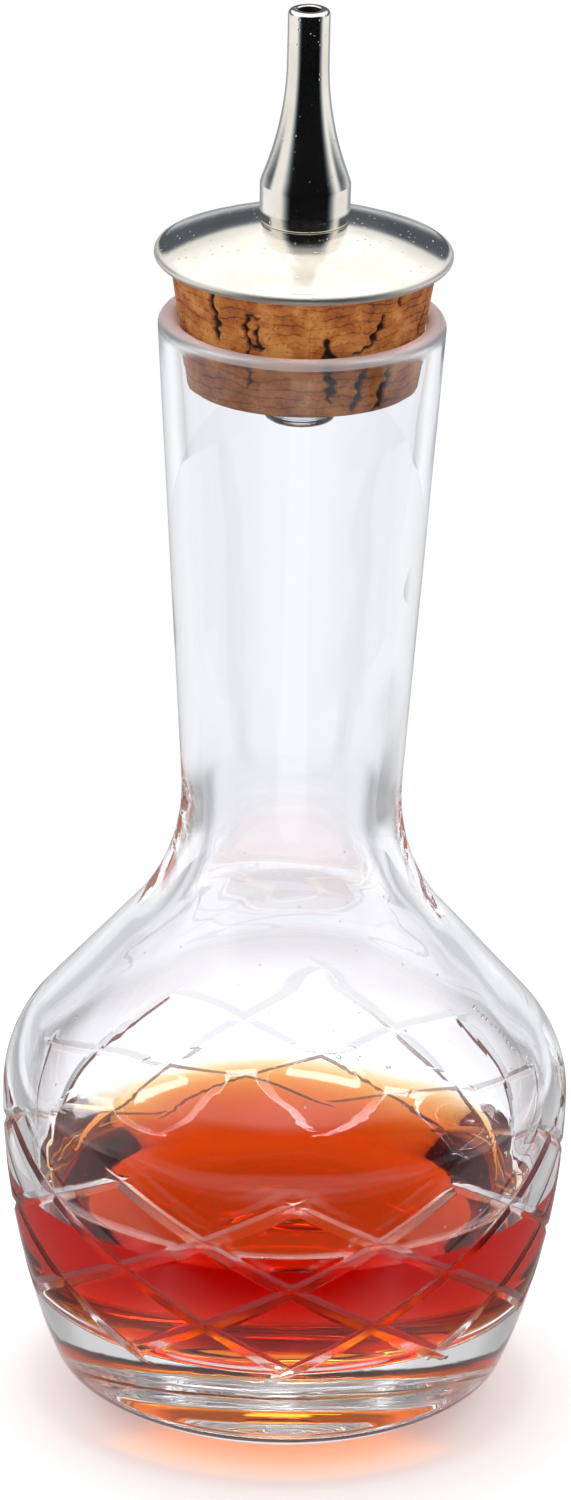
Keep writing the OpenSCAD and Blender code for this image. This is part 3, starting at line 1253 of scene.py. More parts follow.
        under = outer[:start] + [ring_at(band_low)]
        over = [ring_at(band_high)] + outer[stop:] + self.lip_rows()
        inner = list(reversed(self.inner_rows()))
        lower = self.rings(under, self.ripple_out, self.seed_out)
        patch, inside = self.lattice_patch()
        upper = self.rings(over, self.ripple_out, self.seed_out)
        hollow = self.rings(inner, -self.ripple_in, self.seed_in)
        columns = self.columns
        top_base = len(lower) + len(patch)
        hollow_base = top_base + len(upper)
        verts = np.concatenate([lower, patch, upper, hollow])
        faces = tube_faces(0, len(under), columns)
        faces += self.patch_faces(len(lower), len(lower) - columns, top_base)
        faces += tube_faces(top_base, len(over) + len(inner), columns)
        wet_z = self.fill_z + self.wet_edge + 0.01
        middles = np.array([verts[list(face), 2].max() for face in faces])
        first = np.array([min(face) for face in faces])
        slots = ((first >= hollow_base) & (middles <= wet_z + 0.2)).astype(int)
        cut = np.zeros(len(verts))
        cut[len(lower) : top_base] = inside
        lip_low = self.lip_centre[1] - self.lip_drop
        lip = np.clip((verts[:, 2] - lip_low) / (0.8 * self.lip_r), 0, 1)
        verts[:, 2] = np.maximum(verts[:, 2], 0.0)
        slots[np.array([lip[list(face)].min() for face in faces]) > 0.98] = 2
        marks = {"cut": cut, "lip": lip}
        made = make_object("cut_glass_bottle", verts, faces, [glass, wetted, satin], slots, marks)
        weld(made)
        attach(made, Body.GLASS.value)
        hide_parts("bottle")
        return made


@dataclass
class Bitters:
    """The bitters in the body: a coloured volume and the clear skin of its surface."""

    bottle: CutGlassBottle
    gap: float = 0.03
    skin_t: float = 0.1
    creep_h: float = 2.0
    creep_w: float = 2.8
    lid_rings: int = 12
    skin_shares: tuple[float, ...] = (0.0, 0.2, 0.4, 0.6)
    skin_backs: tuple[float, ...] = (
        9.6, 8.1, 6.9, 5.8, 4.8, 3.9, 3.1, 2.4, 1.8, 1.3, 0.9, 0.6, 0.35, 0.15, 0.0,
    )
    under_shares: tuple[float, ...] = (1.0, 0.75, 0.4, 0.0)

    def creep(self, back: np.ndarray | float) -> np.ndarray | float:
        """How high the surface stands over its level at a distance from the wall, in millimetres."""
        return self.creep_h * np.exp(-back / self.creep_w)

    def wall_rows(self, top: float) -> Rows:
        """Inner profile of the glass up to a height.

        Args:
            top: The height of its last point.

        Returns:
            Points as radius and height.
        """
        rows = [row for row in self.bottle.inner_rows() if row[1] < top - 0.05]
        following = self.bottle.inner_rows()[len(rows)]
        share = (top - rows[-1][1]) / (following[1] - rows[-1][1])
        return rows + [(rows[-1][0] + share * (following[0] - rows[-1][0]), top)]

    def build(
        self, volume: bpy.types.Material, surface: bpy.types.Material, within: bpy.types.Material
    ) -> list[bpy.types.Object]:
        """Builds the volume and its skin.

        Args:
            volume: Material that colours the light inside.
            surface: Material of the bitters against air.
            within: Material of the skin's underside, which light crosses unbent.

        Returns:
            The volume and the skin.
        """
        bottle = self.bottle
        columns = bottle.columns
        top = bottle.fill_z - 2 * self.skin_t
        rows = self.wall_rows(top)
        wall = bottle.rings(rows, bottle.ripple_in, bottle.seed_in, self.gap)
        turns = bottle.column_turns()
        lid = []
        for k in range(1, self.lid_rings + 1):
            radius = (rows[-1][0] - self.gap) * (1 - k / self.lid_rings)
            ring = wall[-columns:].copy()
            ring[:, :2] *= radius / (rows[-1][0] - self.gap)
            ring[:, 2] = top
            lid.append(ring)
        wall[-columns:, 2] = top
        verts = np.concatenate([wall, *lid])
        fill = make_object("bitters_volume", verts, tube_faces(0, len(verts) // columns, columns), [volume])
        weld(fill)
        edge = np.hypot(wall[-columns:, 0], wall[-columns:, 1])
        skin_rows = []
        radial = [(share, 0.0) for share in self.skin_shares] + [(1.0, back) for back in self.skin_backs]
        for share, back in radial:
            ring_r = edge * share - back
            skin_rows.append(bottle.place(ring_r, bottle.fill_z + self.creep(edge - ring_r), turns))
        under = []
        for share in self.under_shares:
            under.append(bottle.place(edge * share, np.full(columns, bottle.fill_z - self.skin_t), turns))
        verts = np.concatenate(skin_rows + under)
        count = len(verts) // columns
        slots = [0 if k < len(skin_rows) - 1 else 1 for k in range(count - 1) for _ in range(columns)]
        skin = make_object("bitters_skin", verts, tube_faces(0, count, columns), [surface, within], slots)
        weld(skin)
        for piece in (fill, skin):
            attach(piece, Body.GLASS.value)
        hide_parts("bitters")
        return [fill, skin]


@dataclass
class Beads:
    """A run of drops and loose drops on the dry inner wall, and bubbles and dust on the bitters."""

    bottle: CutGlassBottle
    bitters: Bitters
    gap: float = 0.02
    sides: int = 12
    dome_steps: tuple[float, ...] = (0.0, 0.35, 0.75, 1.15)
    run_count: int = 14
    run_turn: float = 69.5
    run_across: float = 6.0
    run_top: float = 48.0
    run_fall: float = 6.6
    run_jitter: float = 0.7
    run_size: Point = (0.12, 0.3)
    run_tall: float = 0.6
    drop_count: int = 46
    drop_low: float = 3.0
    drop_span: float = 34.0
    drop_crowding: float = 1.8
    drop_size: Point = (0.06, 0.2)
    drop_tall: float = 0.55
    bubble_count: int = 22
    bubble_turns: tuple[float, ...] = (155.0, 120.0, 60.0, -70.0, 10.0)
    bubble_spread: float = 14.0
    bubble_back: Point = (1.0, 2.2)
    bubble_rise: float = 0.12
    bubble_size: Point = (0.16, 0.36)
    bubble_tall: float = 0.8
    dust_count: int = 60
    dust_clear: float = 6.0
    dust_size: Point = (0.04, 0.09)
    dust_tall: float = 0.9
    seed: int = 7

    def wall_at(self, height: float) -> tuple[float, float]:
        """Finds the inner wall at a height.

        Args:
            height: Height above the table.

        Returns:
            Its radius, and the angle by which it leans in, in radians.
        """
        rows = np.array([row for row in self.bottle.inner_rows() if row[1] > self.bottle.floor_t + 0.1])
        radius = float(np.interp(height, rows[:, 1], rows[:, 0]))
        above = float(np.interp(height + 0.5, rows[:, 1], rows[:, 0]))
        return radius, math.atan2(radius - above, 0.5)

    def bead(
        self, middle: np.ndarray, facing: np.ndarray, size: float, tall: float
    ) -> tuple[np.ndarray, list[tuple[int, ...]]]:
        """Shapes one bead as a low dome on a flat base.

        Args:
            middle: Middle of its base.
            facing: Direction in which the dome stands up.
            size: Radius of the base.
            tall: Height of the dome as a share of that radius.

        Returns:
            Its points and faces.
        """
        across = np.cross(facing, [0.0, 0.0, 1.0] if abs(facing[2]) < 0.9 else [1.0, 0.0, 0.0])
        across /= np.linalg.norm(across)
        down = np.cross(facing, across)
        points = [middle]
        for rise in self.dome_steps:
            for k in range(self.sides):
                turn = 2 * math.pi * k / self.sides
                way = math.cos(turn) * across + math.sin(turn) * down
                points.append(middle + size * (math.cos(rise) * way + tall * math.sin(rise) * facing))
        points.append(middle + size * tall * facing)
        faces: list[tuple[int, ...]] = []
        last = len(self.dome_steps) - 1
        for k in range(self.sides):
            n = (k + 1) % self.sides
            faces.append((0, 1 + n, 1 + k))
            for ring in range(last):
                base, over = 1 + ring * self.sides, 1 + (ring + 1) * self.sides
                faces.append((base + k, base + n, over + n, over + k))
            faces.append((1 + last * self.sides + k, 1 + last * self.sides + n, len(points) - 1))
        return np.array(points), faces

    def places(self) -> list[tuple[np.ndarray, np.ndarray, float, float]]:
        """Chooses where the beads sit.

        Returns:
            Middle, facing, radius and relative height of each bead.
        """
        chance = np.random.default_rng(self.seed)
        out = []

        def on_wall(turn: float, height: float, size: float, tall: float) -> None:
            """Puts a bead on the wall.

            Args:
                turn: Azimuth from the front in degrees.
                height: Height above the table.
                size: Radius of the base.
                tall: Height of the dome as a share of that radius.
            """
            radius, lean = self.wall_at(height)
            a = math.radians(turn)
            inward = np.array([-math.sin(a) * math.cos(lean), math.cos(a) * math.cos(lean), -math.sin(lean)])
            spot = np.array([radius * math.sin(a), -radius * math.cos(a), height])
            out.append((spot + (self.gap + self.bottle.ripple_in) * inward, inward, size, tall))

        for k in range(self.run_count):
            share = k / (self.run_count - 1)
            turn = self.run_turn + self.run_across * share + chance.normal(0, self.run_jitter)
            on_wall(turn, self.run_top - self.run_fall * share, chance.uniform(*self.run_size), self.run_tall)
        for _ in range(self.drop_count):
            share = chance.random() ** self.drop_crowding
            height = self.bottle.fill_z + self.drop_low + self.drop_span * share
            on_wall(chance.uniform(-180, 180), height, chance.uniform(*self.drop_size), self.drop_tall)
        top = self.bottle.fill_z + self.gap
        edge = self.wall_at(self.bottle.fill_z)[0]
        up = np.array([0.0, 0.0, 1.0])
        for _ in range(self.bubble_count):
            a = math.radians(chance.choice(self.bubble_turns) + chance.normal(0, self.bubble_spread))
            back = chance.uniform(*self.bubble_back)
            lift = float(self.bitters.creep(back))
            height = top + lift + self.bubble_rise
            spot = np.array([(edge - back) * math.sin(a), -(edge - back) * math.cos(a), height])
            out.append((spot, up, chance.uniform(*self.bubble_size), self.bubble_tall))
        for _ in range(self.dust_count):
            a = chance.uniform(0, 2 * math.pi)
            radius = (edge - self.dust_clear) * math.sqrt(chance.random())
            lift = float(self.bitters.creep(edge - radius))
            spot = np.array([radius * math.sin(a), radius * math.cos(a), top + lift])
            out.append((spot, up, chance.uniform(*self.dust_size), self.dust_tall))
        return out

    def build(self, material: bpy.types.Material) -> bpy.types.Object:
        """Builds all beads as one piece.

        Args:
            material: Material of the beads.

        Returns:
            The new object.
        """
        verts, faces, count = [], [], 0
        for middle, facing, size, tall in self.places():
            points, sides = self.bead(middle, facing, size, tall)
            verts.append(points)
            faces += [tuple(corner + count for corner in face) for face in sides]
            count += len(points)
        made = make_object("bitters_beads", np.concatenate(verts), faces, [material])
        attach(made, Body.GLASS.value)
        return made


@dataclass
class Stopper:
    """The stopper: cork, cap plate, spout, stem tube and clear bush."""

    cork_h: float = 13.5
    cork_taper: float = 9.0
    cork_seat: float = 6.0
    cork_bevel: float = 0.6
    pore_widen: float = 1.3
    pore_depth: float = 0.3
    pore_edge: float = 0.05
    rough_depth: float = 0.03
    rough_wave: float = 1.6
    seat_gap: float = 0.05
    press_gap: float = 0.02
    plate_overhang: float = 1.66
    plate_edge_t: float = 1.2
    plate_crown_h: float = 3.1
    plate_border_w: float = 0.6
    plate_edge_end: float = 166.0
    plate_rings: int = 48
    spout_foot_d: float = 9.4
    spout_barrel_d: float = 9.7
    spout_barrel_h: float = 4.4
    spout_foot_h: float = 1.3
    spout_tip_d: float = 4.5
    spout_foot_r: float = 0.25
    spout_shoulder_r: float = 0.18
    spout_sweep_h: float = 17.8
    spout_h: float = 23.4
    orifice_d: float = 2.3
    orifice_bevel: Point = (0.12, 0.15)
    tip_round_r: float = 0.5
    stem_d: float = 5.4
    stem_bore_d: float = 3.8
    stem_socket_h: float = 3.0
    stem_drop: float = 9.0
    bush_d: float = 7.5
    bush_proud: float = 4.0
    bush_bevel: float = 0.4
    bush_groove: tuple[Point, ...] = ((0.0, 0.62), (0.12, 0.72), (0.12, 0.84), (0.0, 0.94))

    def seat(self, bottle: CutGlassBottle) -> None:
        """Places the stopper where its cork seats against the lip.

        Args:
            bottle: The bottle that it closes.
        """
        lean = math.radians(self.cork_taper)
        at_lip = bottle.lip_centre[0] - (bottle.lip_r + self.seat_gap) / math.cos(lean)
        self.cork_low_r = at_lip - self.cork_seat * math.tan(lean)
        self.cork_top_r = self.cork_low_r + self.cork_h * math.tan(lean)
        self.cork_z = bottle.lip_centre[1] - self.cork_seat
        self.plate_z = self.cork_z + self.cork_h
        self.plate_r = self.cork_top_r + self.plate_overhang
        self.spout_z = self.plate_z + self.plate_edge_t + self.plate_crown_h

    def cork(self, material: bpy.types.Material) -> bpy.types.Object:
        """Builds the cork, with its pores sunk into its side.

        Args:
            material: Finish of the cork.

        Returns:
            The cork, which stands for the node of that name.
        """
        low, high = self.cork_z, self.plate_z
        hole = self.bush_d / 2 + self.press_gap
        lean = math.tan(math.radians(self.cork_taper))
        rows: Rows = [(hole, low + 0.02)]
        rows += line_rows(rows[-1], (self.cork_low_r - self.cork_bevel, low + 0.02), 0.6)
        rows += line_rows(rows[-1], (self.cork_low_r + self.cork_bevel * lean, low + self.cork_bevel), 0.2)
        rows += line_rows(rows[-1], (self.cork_top_r - 0.02, high - 0.01), 0.12)
        rows += line_rows(rows[-1], (hole, high - 0.01), 2.0)
        piece = Turned("cork_body", rows, columns=720, loop=True)
        radius, height, turn = piece.grid()
        pore = self.pores(radius, height, turn)
        place = np.stack([radius * np.sin(turn), -radius * np.cos(turn), height], -1)
        rough = self.rough_depth * ripple(place, self.rough_wave, 7.0)
        side = (radius > hole + 0.5) & (height > low + 0.1) & (height < high - 0.1)
        sink = np.where(side, self.pore_depth * pore + np.abs(rough), 0.0)
        piece.shift = lambda r, z, t: -sink
        piece.marks = {"pore": np.where(side, pore, 0.0)}
        made = piece.build(material)
        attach(made, Body.STOPPER.value)
        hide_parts("cork")
        return made

    def pores(self, radius: np.ndarray, height: np.ndarray, turn: np.ndarray) -> np.ndarray:
        """How much of each point of the cork lies in a dark pore.

        Args:
            radius: Radius of each point.
            height: Height of each point.
            turn: Azimuth of each point in radians.

        Returns:
            A value from 0 to 1 for each point.
        """
        out = np.zeros_like(radius)
        away = np.mod(np.degrees(turn) + 180, 360) - 180
        up = height - self.cork_z
        side = np.radians(away) * radius
        bent_side = side + 0.2 * np.sin(up * 2.1 + side) + 0.1 * np.sin(up * 5.3 - side * 1.7)
        bent_up = up + 0.2 * np.sin(side * 2.3) + 0.1 * np.sin(side * 5.9 + up)
        for azimuth0, up0, azimuth1, up1, width in self.pore_strokes():
            ends = ((azimuth0, up0), (azimuth1, up1))
            x0, x1 = (math.radians(a) * (self.cork_low_r + 0.16 * u) for a, u in ends)
            run_x, run_y = x1 - x0, up1 - up0
            share = ((bent_side - x0) * run_x + (bent_up - up0) * run_y) / (run_x**2 + run_y**2)
            share = np.clip(share, 0, 1)
            off = np.hypot(bent_side - x0 - share * run_x, bent_up - up0 - share * run_y)
            uneven = 0.72 + 0.28 * np.sin(up * 4.7 + side * 2 + azimuth0)
            edge = self.pore_widen * width / 2 * uneven * (1 - 0.5 * np.abs(2 * share - 1) ** 3)
            out = np.maximum(out, 1 / (1 + np.exp(np.clip((off - edge) / self.pore_edge, -40, 40))))
        return out

    @staticmethod
    def pore_strokes() -> list[tuple[float, float, float, float, float]]:
        """Pores as strokes: azimuth and height of one end, then of the other, and the width.

        Returns:
            The pores that show at the front, then a scatter round the rest, in degrees and millimetres.
        """
        front = [
            (-43.0, 13.2, -40.5, 7.6, 0.75),
            (-25.5, 11.3, -25.0, 7.2, 0.5),
            (-20.5, 10.6, -19.5, 7.6, 0.45),
            (-26.0, 11.2, -19.0, 11.4, 0.4),
            (-26.0, 7.9, -18.0, 7.7, 0.55),
            (-25.0, 7.2, -23.5, 3.4, 0.35),
            (12.0, 9.0, 13.5, 2.4, 1.1),
            (9.5, 7.4, 11.5, 5.0, 0.5),
            (38.5, 11.2, 33.0, 7.6, 0.7),
            (33.0, 7.6, 25.5, 7.2, 0.4),
            (29.0, 6.4, 25.5, 0.7, 0.75),
            (43.5, 6.0, 37.5, 0.3, 0.85),
            (47.0, 13.3, 46.0, 11.9, 0.35),
            (71.0, 10.2, 67.0, 6.8, 0.4),
            (-66.0, 4.5, -64.0, 2.0, 0.3),
        ]
        scatter = []
        for k in range(17):
            azimuth = 84.0 + 12.1 * k
            low = 0.6 + (k * 37 % 11) / 11 * 7.5
            high = low + 1.6 + (k * 29 % 7) / 7 * 4.0
            scatter.append((azimuth, low, azimuth + 5.0 * (k % 3 - 1), high, 0.35 + (k % 4) * 0.17))
        turned = [360.0 if a > 180 else 0.0 for a, *_ in scatter]
        return front + [(a - t, b, c - t, d, e) for t, (a, b, c, d, e) in zip(turned, scatter, strict=True)]

    def cap_plate(self, material: bpy.types.Material) -> bpy.types.Object:
        """Builds the domed cap plate with its rounded edge and border.

        Args:
            material: Finish of the plate.

        Returns:
            The plate, which stands for the node of that name.
        """
        edge_r = self.plate_edge_t / 2
        hole = self.stem_d / 2 + self.press_gap
        rim = np.array([self.plate_r - edge_r, self.plate_z + edge_r])
        crown_r = self.plate_r - self.plate_border_w
        flat_r = self.spout_foot_d / 2
        rows: Rows = [(hole, self.plate_z)]
        rows += line_rows(rows[-1], (rim[0], self.plate_z), 0.7)
        rows += arc_rows(rim, edge_r, 0, self.plate_edge_end, 0.1)
        top = self.spout_z
        ball = (crown_r**2 - flat_r**2 - self.plate_crown_h**2) / (2 * self.plate_crown_h)
        ball_r = math.hypot(flat_r, ball + self.plate_crown_h)
        ball_z = top - math.sqrt(ball_r**2 - flat_r**2)
        start = crown_r - 0.1
        for k in range(self.plate_rings + 1):
            radius = start + (flat_r - start) * k / self.plate_rings
            rows.append((radius, min(top, ball_z + math.sqrt(ball_r**2 - radius**2)) - 0.01))
        rows += line_rows(rows[-1], (hole, top - 0.01), 0.5)
        rows += line_rows(rows[-1], (hole, self.plate_z + 0.2), 1.0)
        made = Turned("cap_plate_dome", rows, columns=256, loop=True).build(material)
        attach(made, Body.STOPPER.value)
        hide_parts("cap_plate")
        return made

    def spout(self, material: bpy.types.Material, bore_painted_shade: bpy.types.Material) -> bpy.types.Object:
        """Builds the dasher spout, hollow from its socket to its opening.

        Args:
            material: Finish of the outside.
            bore_painted_shade: Material of the bore, where the plating doesn't reach; its near-black colour
                is painted shade.

        Returns:
            The spout, which stands for the node of that name.
        """
        z = self.spout_z
        foot_r, barrel_r, tip_r = self.spout_foot_d / 2, self.spout_barrel_d / 2, self.spout_tip_d / 2
        drop, rise = barrel_r - tip_r, self.spout_sweep_h - self.spout_barrel_h
        sweep_r = (rise**2 + drop**2) / (2 * drop)
        turn = math.degrees(math.asin(rise / sweep_r))
        socket, bore, orifice = self.stem_d / 2 + self.press_gap, self.stem_bore_d / 2, self.orifice_d / 2
        rows: Rows = [(socket, z)]
        edge_r, shoulder_r = self.spout_foot_r, self.spout_shoulder_r
        rows += line_rows(rows[-1], (foot_r - edge_r, z), 0.5)
        rows += arc_rows(np.array([foot_r - edge_r, z + edge_r]), edge_r, 0, 80, 0.08)
        rows += line_rows(rows[-1], (barrel_r - 0.02, z + self.spout_foot_h), 0.3)
        rows += line_rows(rows[-1], (barrel_r, z + self.spout_barrel_h - shoulder_r), 0.4)
        shoulder = np.array([barrel_r - shoulder_r, z + self.spout_barrel_h - shoulder_r])
        rows += arc_rows(shoulder, shoulder_r, UPRIGHT, UPRIGHT + turn, 0.04)
        centre = np.array([tip_r + sweep_r, z + self.spout_sweep_h])
        rows += arc_rows(centre, -sweep_r, UPRIGHT + turn, UPRIGHT, 0.4)[1:]
        rows += line_rows(rows[-1], (tip_r, z + self.spout_h - self.tip_round_r), 0.5)
        tip = np.array([tip_r - self.tip_round_r, z + self.spout_h - self.tip_round_r])
        rows += arc_rows(tip, self.tip_round_r, UPRIGHT, 180, 0.07)
        rows += line_rows(rows[-1], (orifice + self.orifice_bevel[0], z + self.spout_h), 0.1)
        rows += line_rows(rows[-1], (orifice, z + self.spout_h - self.orifice_bevel[1]), 0.1)
        rows += line_rows(rows[-1], (orifice, z + self.spout_sweep_h), 1.0)
        rows += line_rows(rows[-1], (bore, z + self.stem_socket_h), 1.5)
        rows += line_rows(rows[-1], (socket, z + self.stem_socket_h), 0.5)
        rows += line_rows(rows[-1], (socket, z + 0.2), 1.0)
        made = Turned("dasher_spout", rows, columns=160, loop=True).build(material)
        made.data.materials.append(bore_painted_shade)
        # Faces inside the bore take the near-black material, which paints the shade in the hole.
        within_r, under_z = (bore + 0.01) * MM, (z + self.spout_h - 0.1) * MM
        for face in made.data.polygons:
            if math.hypot(face.center.x, face.center.y) < within_r and face.center.z < under_z:
                face.material_index = 1
        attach(made, Body.STOPPER.value)
        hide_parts("spout")
        return made

    def bush(self, material: bpy.types.Material) -> bpy.types.Object:
        """Builds the clear bush, with the ledge for the stem and a moulded groove at its lower end.

        Args:
            material: Finish of the bush.

        Returns:
            The bush, which stands for the node of that name.
        """
        low = self.cork_z - self.bush_proud
        stem_z = self.plate_z - self.stem_drop
        outer = self.bush_d / 2
        bore, socket = self.stem_bore_d / 2, self.stem_d / 2 + self.press_gap
        rows: Rows = [(bore, low)]
        rows += line_rows(rows[-1], (outer - self.bush_bevel - 0.1, low), 0.3)
        bevel = np.array([outer - self.bush_bevel, low + self.bush_bevel])
        rows += arc_rows(bevel, self.bush_bevel, 10, UPRIGHT, 0.08)
        for inset, rise in self.bush_groove:
            rows += line_rows(rows[-1], (outer - inset, low + rise), 0.1)
        rows += line_rows(rows[-1], (outer, self.plate_z), 1.5)
        rows += line_rows(rows[-1], (socket, self.plate_z), 0.5)
        rows += line_rows(rows[-1], (socket, stem_z), 1.5)
        rows += line_rows(rows[-1], (bore, stem_z), 0.4)
        rows += line_rows(rows[-1], (bore, low + 0.3), 0.8)
        made = Turned("clear_bush", rows, columns=128, loop=True).build(material)
        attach(made, Body.STOPPER.value)
        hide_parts("flow_bush")
        return made


# Studio


@dataclass
class Studio:
    """Table, world, lamp and camera.

    A group of fades is a zone of directions, by height, side, depth or how far towards the front.
    """

    table_r: float = 0.26
    table_gap_mm: float = 0.03
    table_t_mm: float = 4.0
    world_level: float = 0.7
    soft_lights: tuple[tuple[tuple[float, float, float], float], ...] = (
        ((0.0, 0.64, 0.77), 0.5),
        ((-0.85, -0.25, 0.46), 0.4),
        ((0.85, -0.1, 0.5), 0.2),
    )
    front_turn: float = 10.0
    camera_side: tuple[Fade, Fade] = (Fade(0.2, 0.65, 0.995), Fade(0.78, 0.62))
    horizon: tuple[Fade, Fade, Fade] = (Fade(-0.16, 0.12), Fade(0.4, 0.34, 0.82), Fade(0.0, 0.3))
    far_table: tuple[Fade, Fade] = (Fade(0.55, 0.85, 0.5), Fade(0.0, -0.16))
    over_back: tuple[Fade, Fade, Fade] = (Fade(0.1, 0.2), Fade(0.56, 0.53, 0.97), Fade(0.1, 0.4))
    through_front: tuple[Fade, Fade, Fade] = (Fade(0.2, 0.5, 0.97), Fade(-0.12, 0.0), Fade(0.9, 0.75))
    through_side: tuple[Fade, Fade] = (Fade(0.45, 0.85, 0.55), Fade(0.8, 0.5))
    low_side: tuple[Fade, Fade, Fade] = (Fade(0.28, 0.45, 0.3), Fade(-0.14, -0.04), Fade(0.3, 0.2))
    zenith: Fade = Fade(0.84, 0.9, 0.6)
    window: tuple[Fade, ...] = (Fade(0.55, 0.57), Fade(0.66, 0.64, 12.0), Fade(0.62, 0.52), Fade(0.25, 0.4))
    top_box: tuple[Fade, Fade, Fade] = (Fade(0.14, 0.1), Fade(0.1, 0.07, 14.0), Fade(0.0, 0.1))
    overhead: Fade = Fade(0.4, 0.6, 0.4)
    soft_spread: Point = (0.55, 0.95)
    shade_tint: str = "#A9BBD0"
    lamp_place: tuple[float, float, float] = (-0.1, 0.25, 1.2)
    lamp_size: Point = (0.5, 0.1)
    lamp_level: float = 8.0
    bounces: int = 48
    distance: float = 0.9223
    aim_z: float = 0.0809
    elevation: float = 21.91
    roll: float = 1.317
    focal_px: float = 8476.0
    axis_px: Point = (293.5, 704.7)
    image_px: tuple[int, int] = (571, 1500)
    sensor: float = 36.0

    def table(self) -> bpy.types.Object:
        """Builds the round white table top, which isn't part of the object.

        Returns:
            The table top.
        """
        top = -self.table_gap_mm
        rows: Rows = [(0.0, top)]
        rows += line_rows(rows[-1], (self.table_r / MM, top), 20.0)
        rows += [(self.table_r / MM, -self.table_t_mm), (0.0, -self.table_t_mm)]
        made = Turned("table_top", rows, columns=128).build(WhiteTable().build())
        return made

    def world(self) -> None:
        """Lights the scene from a white studio, dark behind the camera and low behind the bottle.

        The dark stretches stand in for black cards. They show only in mirrored light and in light
        that leaves the glass. The window, high at the back, and the box right overhead show only
        in light that leaves the glass.
        """
        made = bpy.data.worlds.new("white_studio")
        bpy.context.scene.world = made
        made.use_nodes = True
        tree = made.node_tree
        tree.nodes.clear()
        out = tree.nodes.new("ShaderNodeOutputWorld")
        path = add_node(tree, "ShaderNodeLightPath")
        coords = add_node(tree, "ShaderNodeTexCoord")
        parts = add_node(tree, "ShaderNodeSeparateXYZ", {"Vector": coords.outputs["Generated"]})
        both = partial(joined, tree)
        glossy, sent = path.outputs["Is Glossy Ray"], path.outputs["Is Transmission Ray"]
        way_x, way_y, height = (parts.outputs[axis] for axis in "XYZ")

        def zone(*pairs: tuple[bpy.types.NodeSocket, Fade]) -> bpy.types.NodeSocket:
            """Joins the fades of a zone of directions.

            Args:
                *pairs: Each value of the direction with its fade.

            Returns:
                The product of the fades, which is 0 outside the zone.
            """
            found = None
            for value, fade in pairs:
                one = fade.of(tree, value)
                found = one if found is None else both(found, one, "MULTIPLY")
            return found

        def towards(way: tuple[float, float, float]) -> bpy.types.NodeSocket:
            """How far a direction points along another, from -1 to 1."""
            kind, seen_way = "ShaderNodeVectorMath", {0: coords.outputs["Generated"]}
            return add_node(tree, kind, seen_way, {1: way}, operation="DOT_PRODUCT").outputs["Value"]

        aim = math.radians(self.front_turn)
        front = towards((math.sin(aim), -math.cos(aim), 0.0))
        sideways = add_node(tree, "ShaderNodeMath", {0: way_x}, operation="ABSOLUTE").outputs[0]
        fore_aft = add_node(tree, "ShaderNodeMath", {0: way_y}, operation="ABSOLUTE").outputs[0]
        camera_side = zone(*zip((front, height), self.camera_side, strict=True))
        behind = zone(*zip((height, height, way_y), self.horizon, strict=True))
        far_table = zone(*zip((way_y, height), self.far_table, strict=True))
        mirrored = both(both(camera_side, behind, "MAXIMUM"), far_table, "MAXIMUM")
        through_back = zone(*zip((height, height, way_y), self.over_back, strict=True))
        through_front = zone(*zip((front, height, height), self.through_front, strict=True))
        through_side = zone(*zip((sideways, height), self.through_side, strict=True))
        low_side = zone(*zip((sideways, height, height), self.low_side, strict=True))
        edges = both(both(through_side, low_side, "MAXIMUM"), zone((height, self.zenith)), "MAXIMUM")
        through = both(both(through_front, through_back, "MAXIMUM"), edges, "MAXIMUM")
        dark = add_node(tree, "ShaderNodeMix", {0: sent, 2: mirrored, 3: through}).outputs[0]
        first_light = zone((path.outputs["Diffuse Depth"], Fade(0.6, 0.4)))
        seen = both(both(glossy, sent, "MAXIMUM"), first_light, "MULTIPLY")
        shade = both(dark, seen, "MULTIPLY")
        level = add_node(tree, "ShaderNodeMath", {1: shade}, {0: 1.0}, operation="SUBTRACT")
        direct = both(path.outputs["Is Camera Ray"], seen, "MAXIMUM")
        soft: bpy.types.NodeSocket | float = self.world_level
        for way, level_there in self.soft_lights:
            soft = both(zone((towards(way), Fade(*self.soft_spread, level_there))), soft, "ADD")
        strength = add_node(tree, "ShaderNodeMix", {0: direct, 2: soft}, {3: 1.0})
        lit = zone(*zip((height, height, sideways, way_y), self.window, strict=True))
        box = zone(*zip((sideways, fore_aft, height), self.top_box, strict=True))
        windows = both(both(lit, box, "ADD"), sent, "MULTIPLY")
        overhead = both(both(zone((height, self.overhead)), windows, "ADD"), seen, "MULTIPLY")
        final = both(both(strength.outputs[0], overhead, "ADD"), level.outputs[0], "MULTIPLY")
        tint = add_node(
            tree,
            "ShaderNodeMix",
            {0: both(both(shade, sent, "SUBTRACT"), 0.0, "MAXIMUM")},
            {6: linear("#FFFFFF"), 7: linear(self.shade_tint)},
            data_type="RGBA",
        )
        glow = add_node(tree, "ShaderNodeBackground", {"Strength": final, "Color": tint.outputs[2]})
        tree.links.new(glow.outputs["Background"], out.inputs["Surface"])

    def lamp(self, name: str) -> None:
        """Adds the softbox over the bottle, which also shows in the glass and the metal.

        Args:
            name: Name of the lamp.
        """
        data = bpy.data.lights.new(name, "AREA")
        data.shape = "RECTANGLE"
        data.size, data.size_y = self.lamp_size
        # The level is the brightness of its face, where the background is 1.
        data.energy = self.lamp_level * math.pi * data.size * data.size_y
        made = bpy.data.objects.new(name, data)
        bpy.context.scene.collection.objects.link(made)
        made.location = self.lamp_place
        away = Vector(self.lamp_place) - Vector((0, 0, self.aim_z))
        made.rotation_mode = "QUATERNION"
        made.rotation_quaternion = away.to_track_quat("Z", "Y")

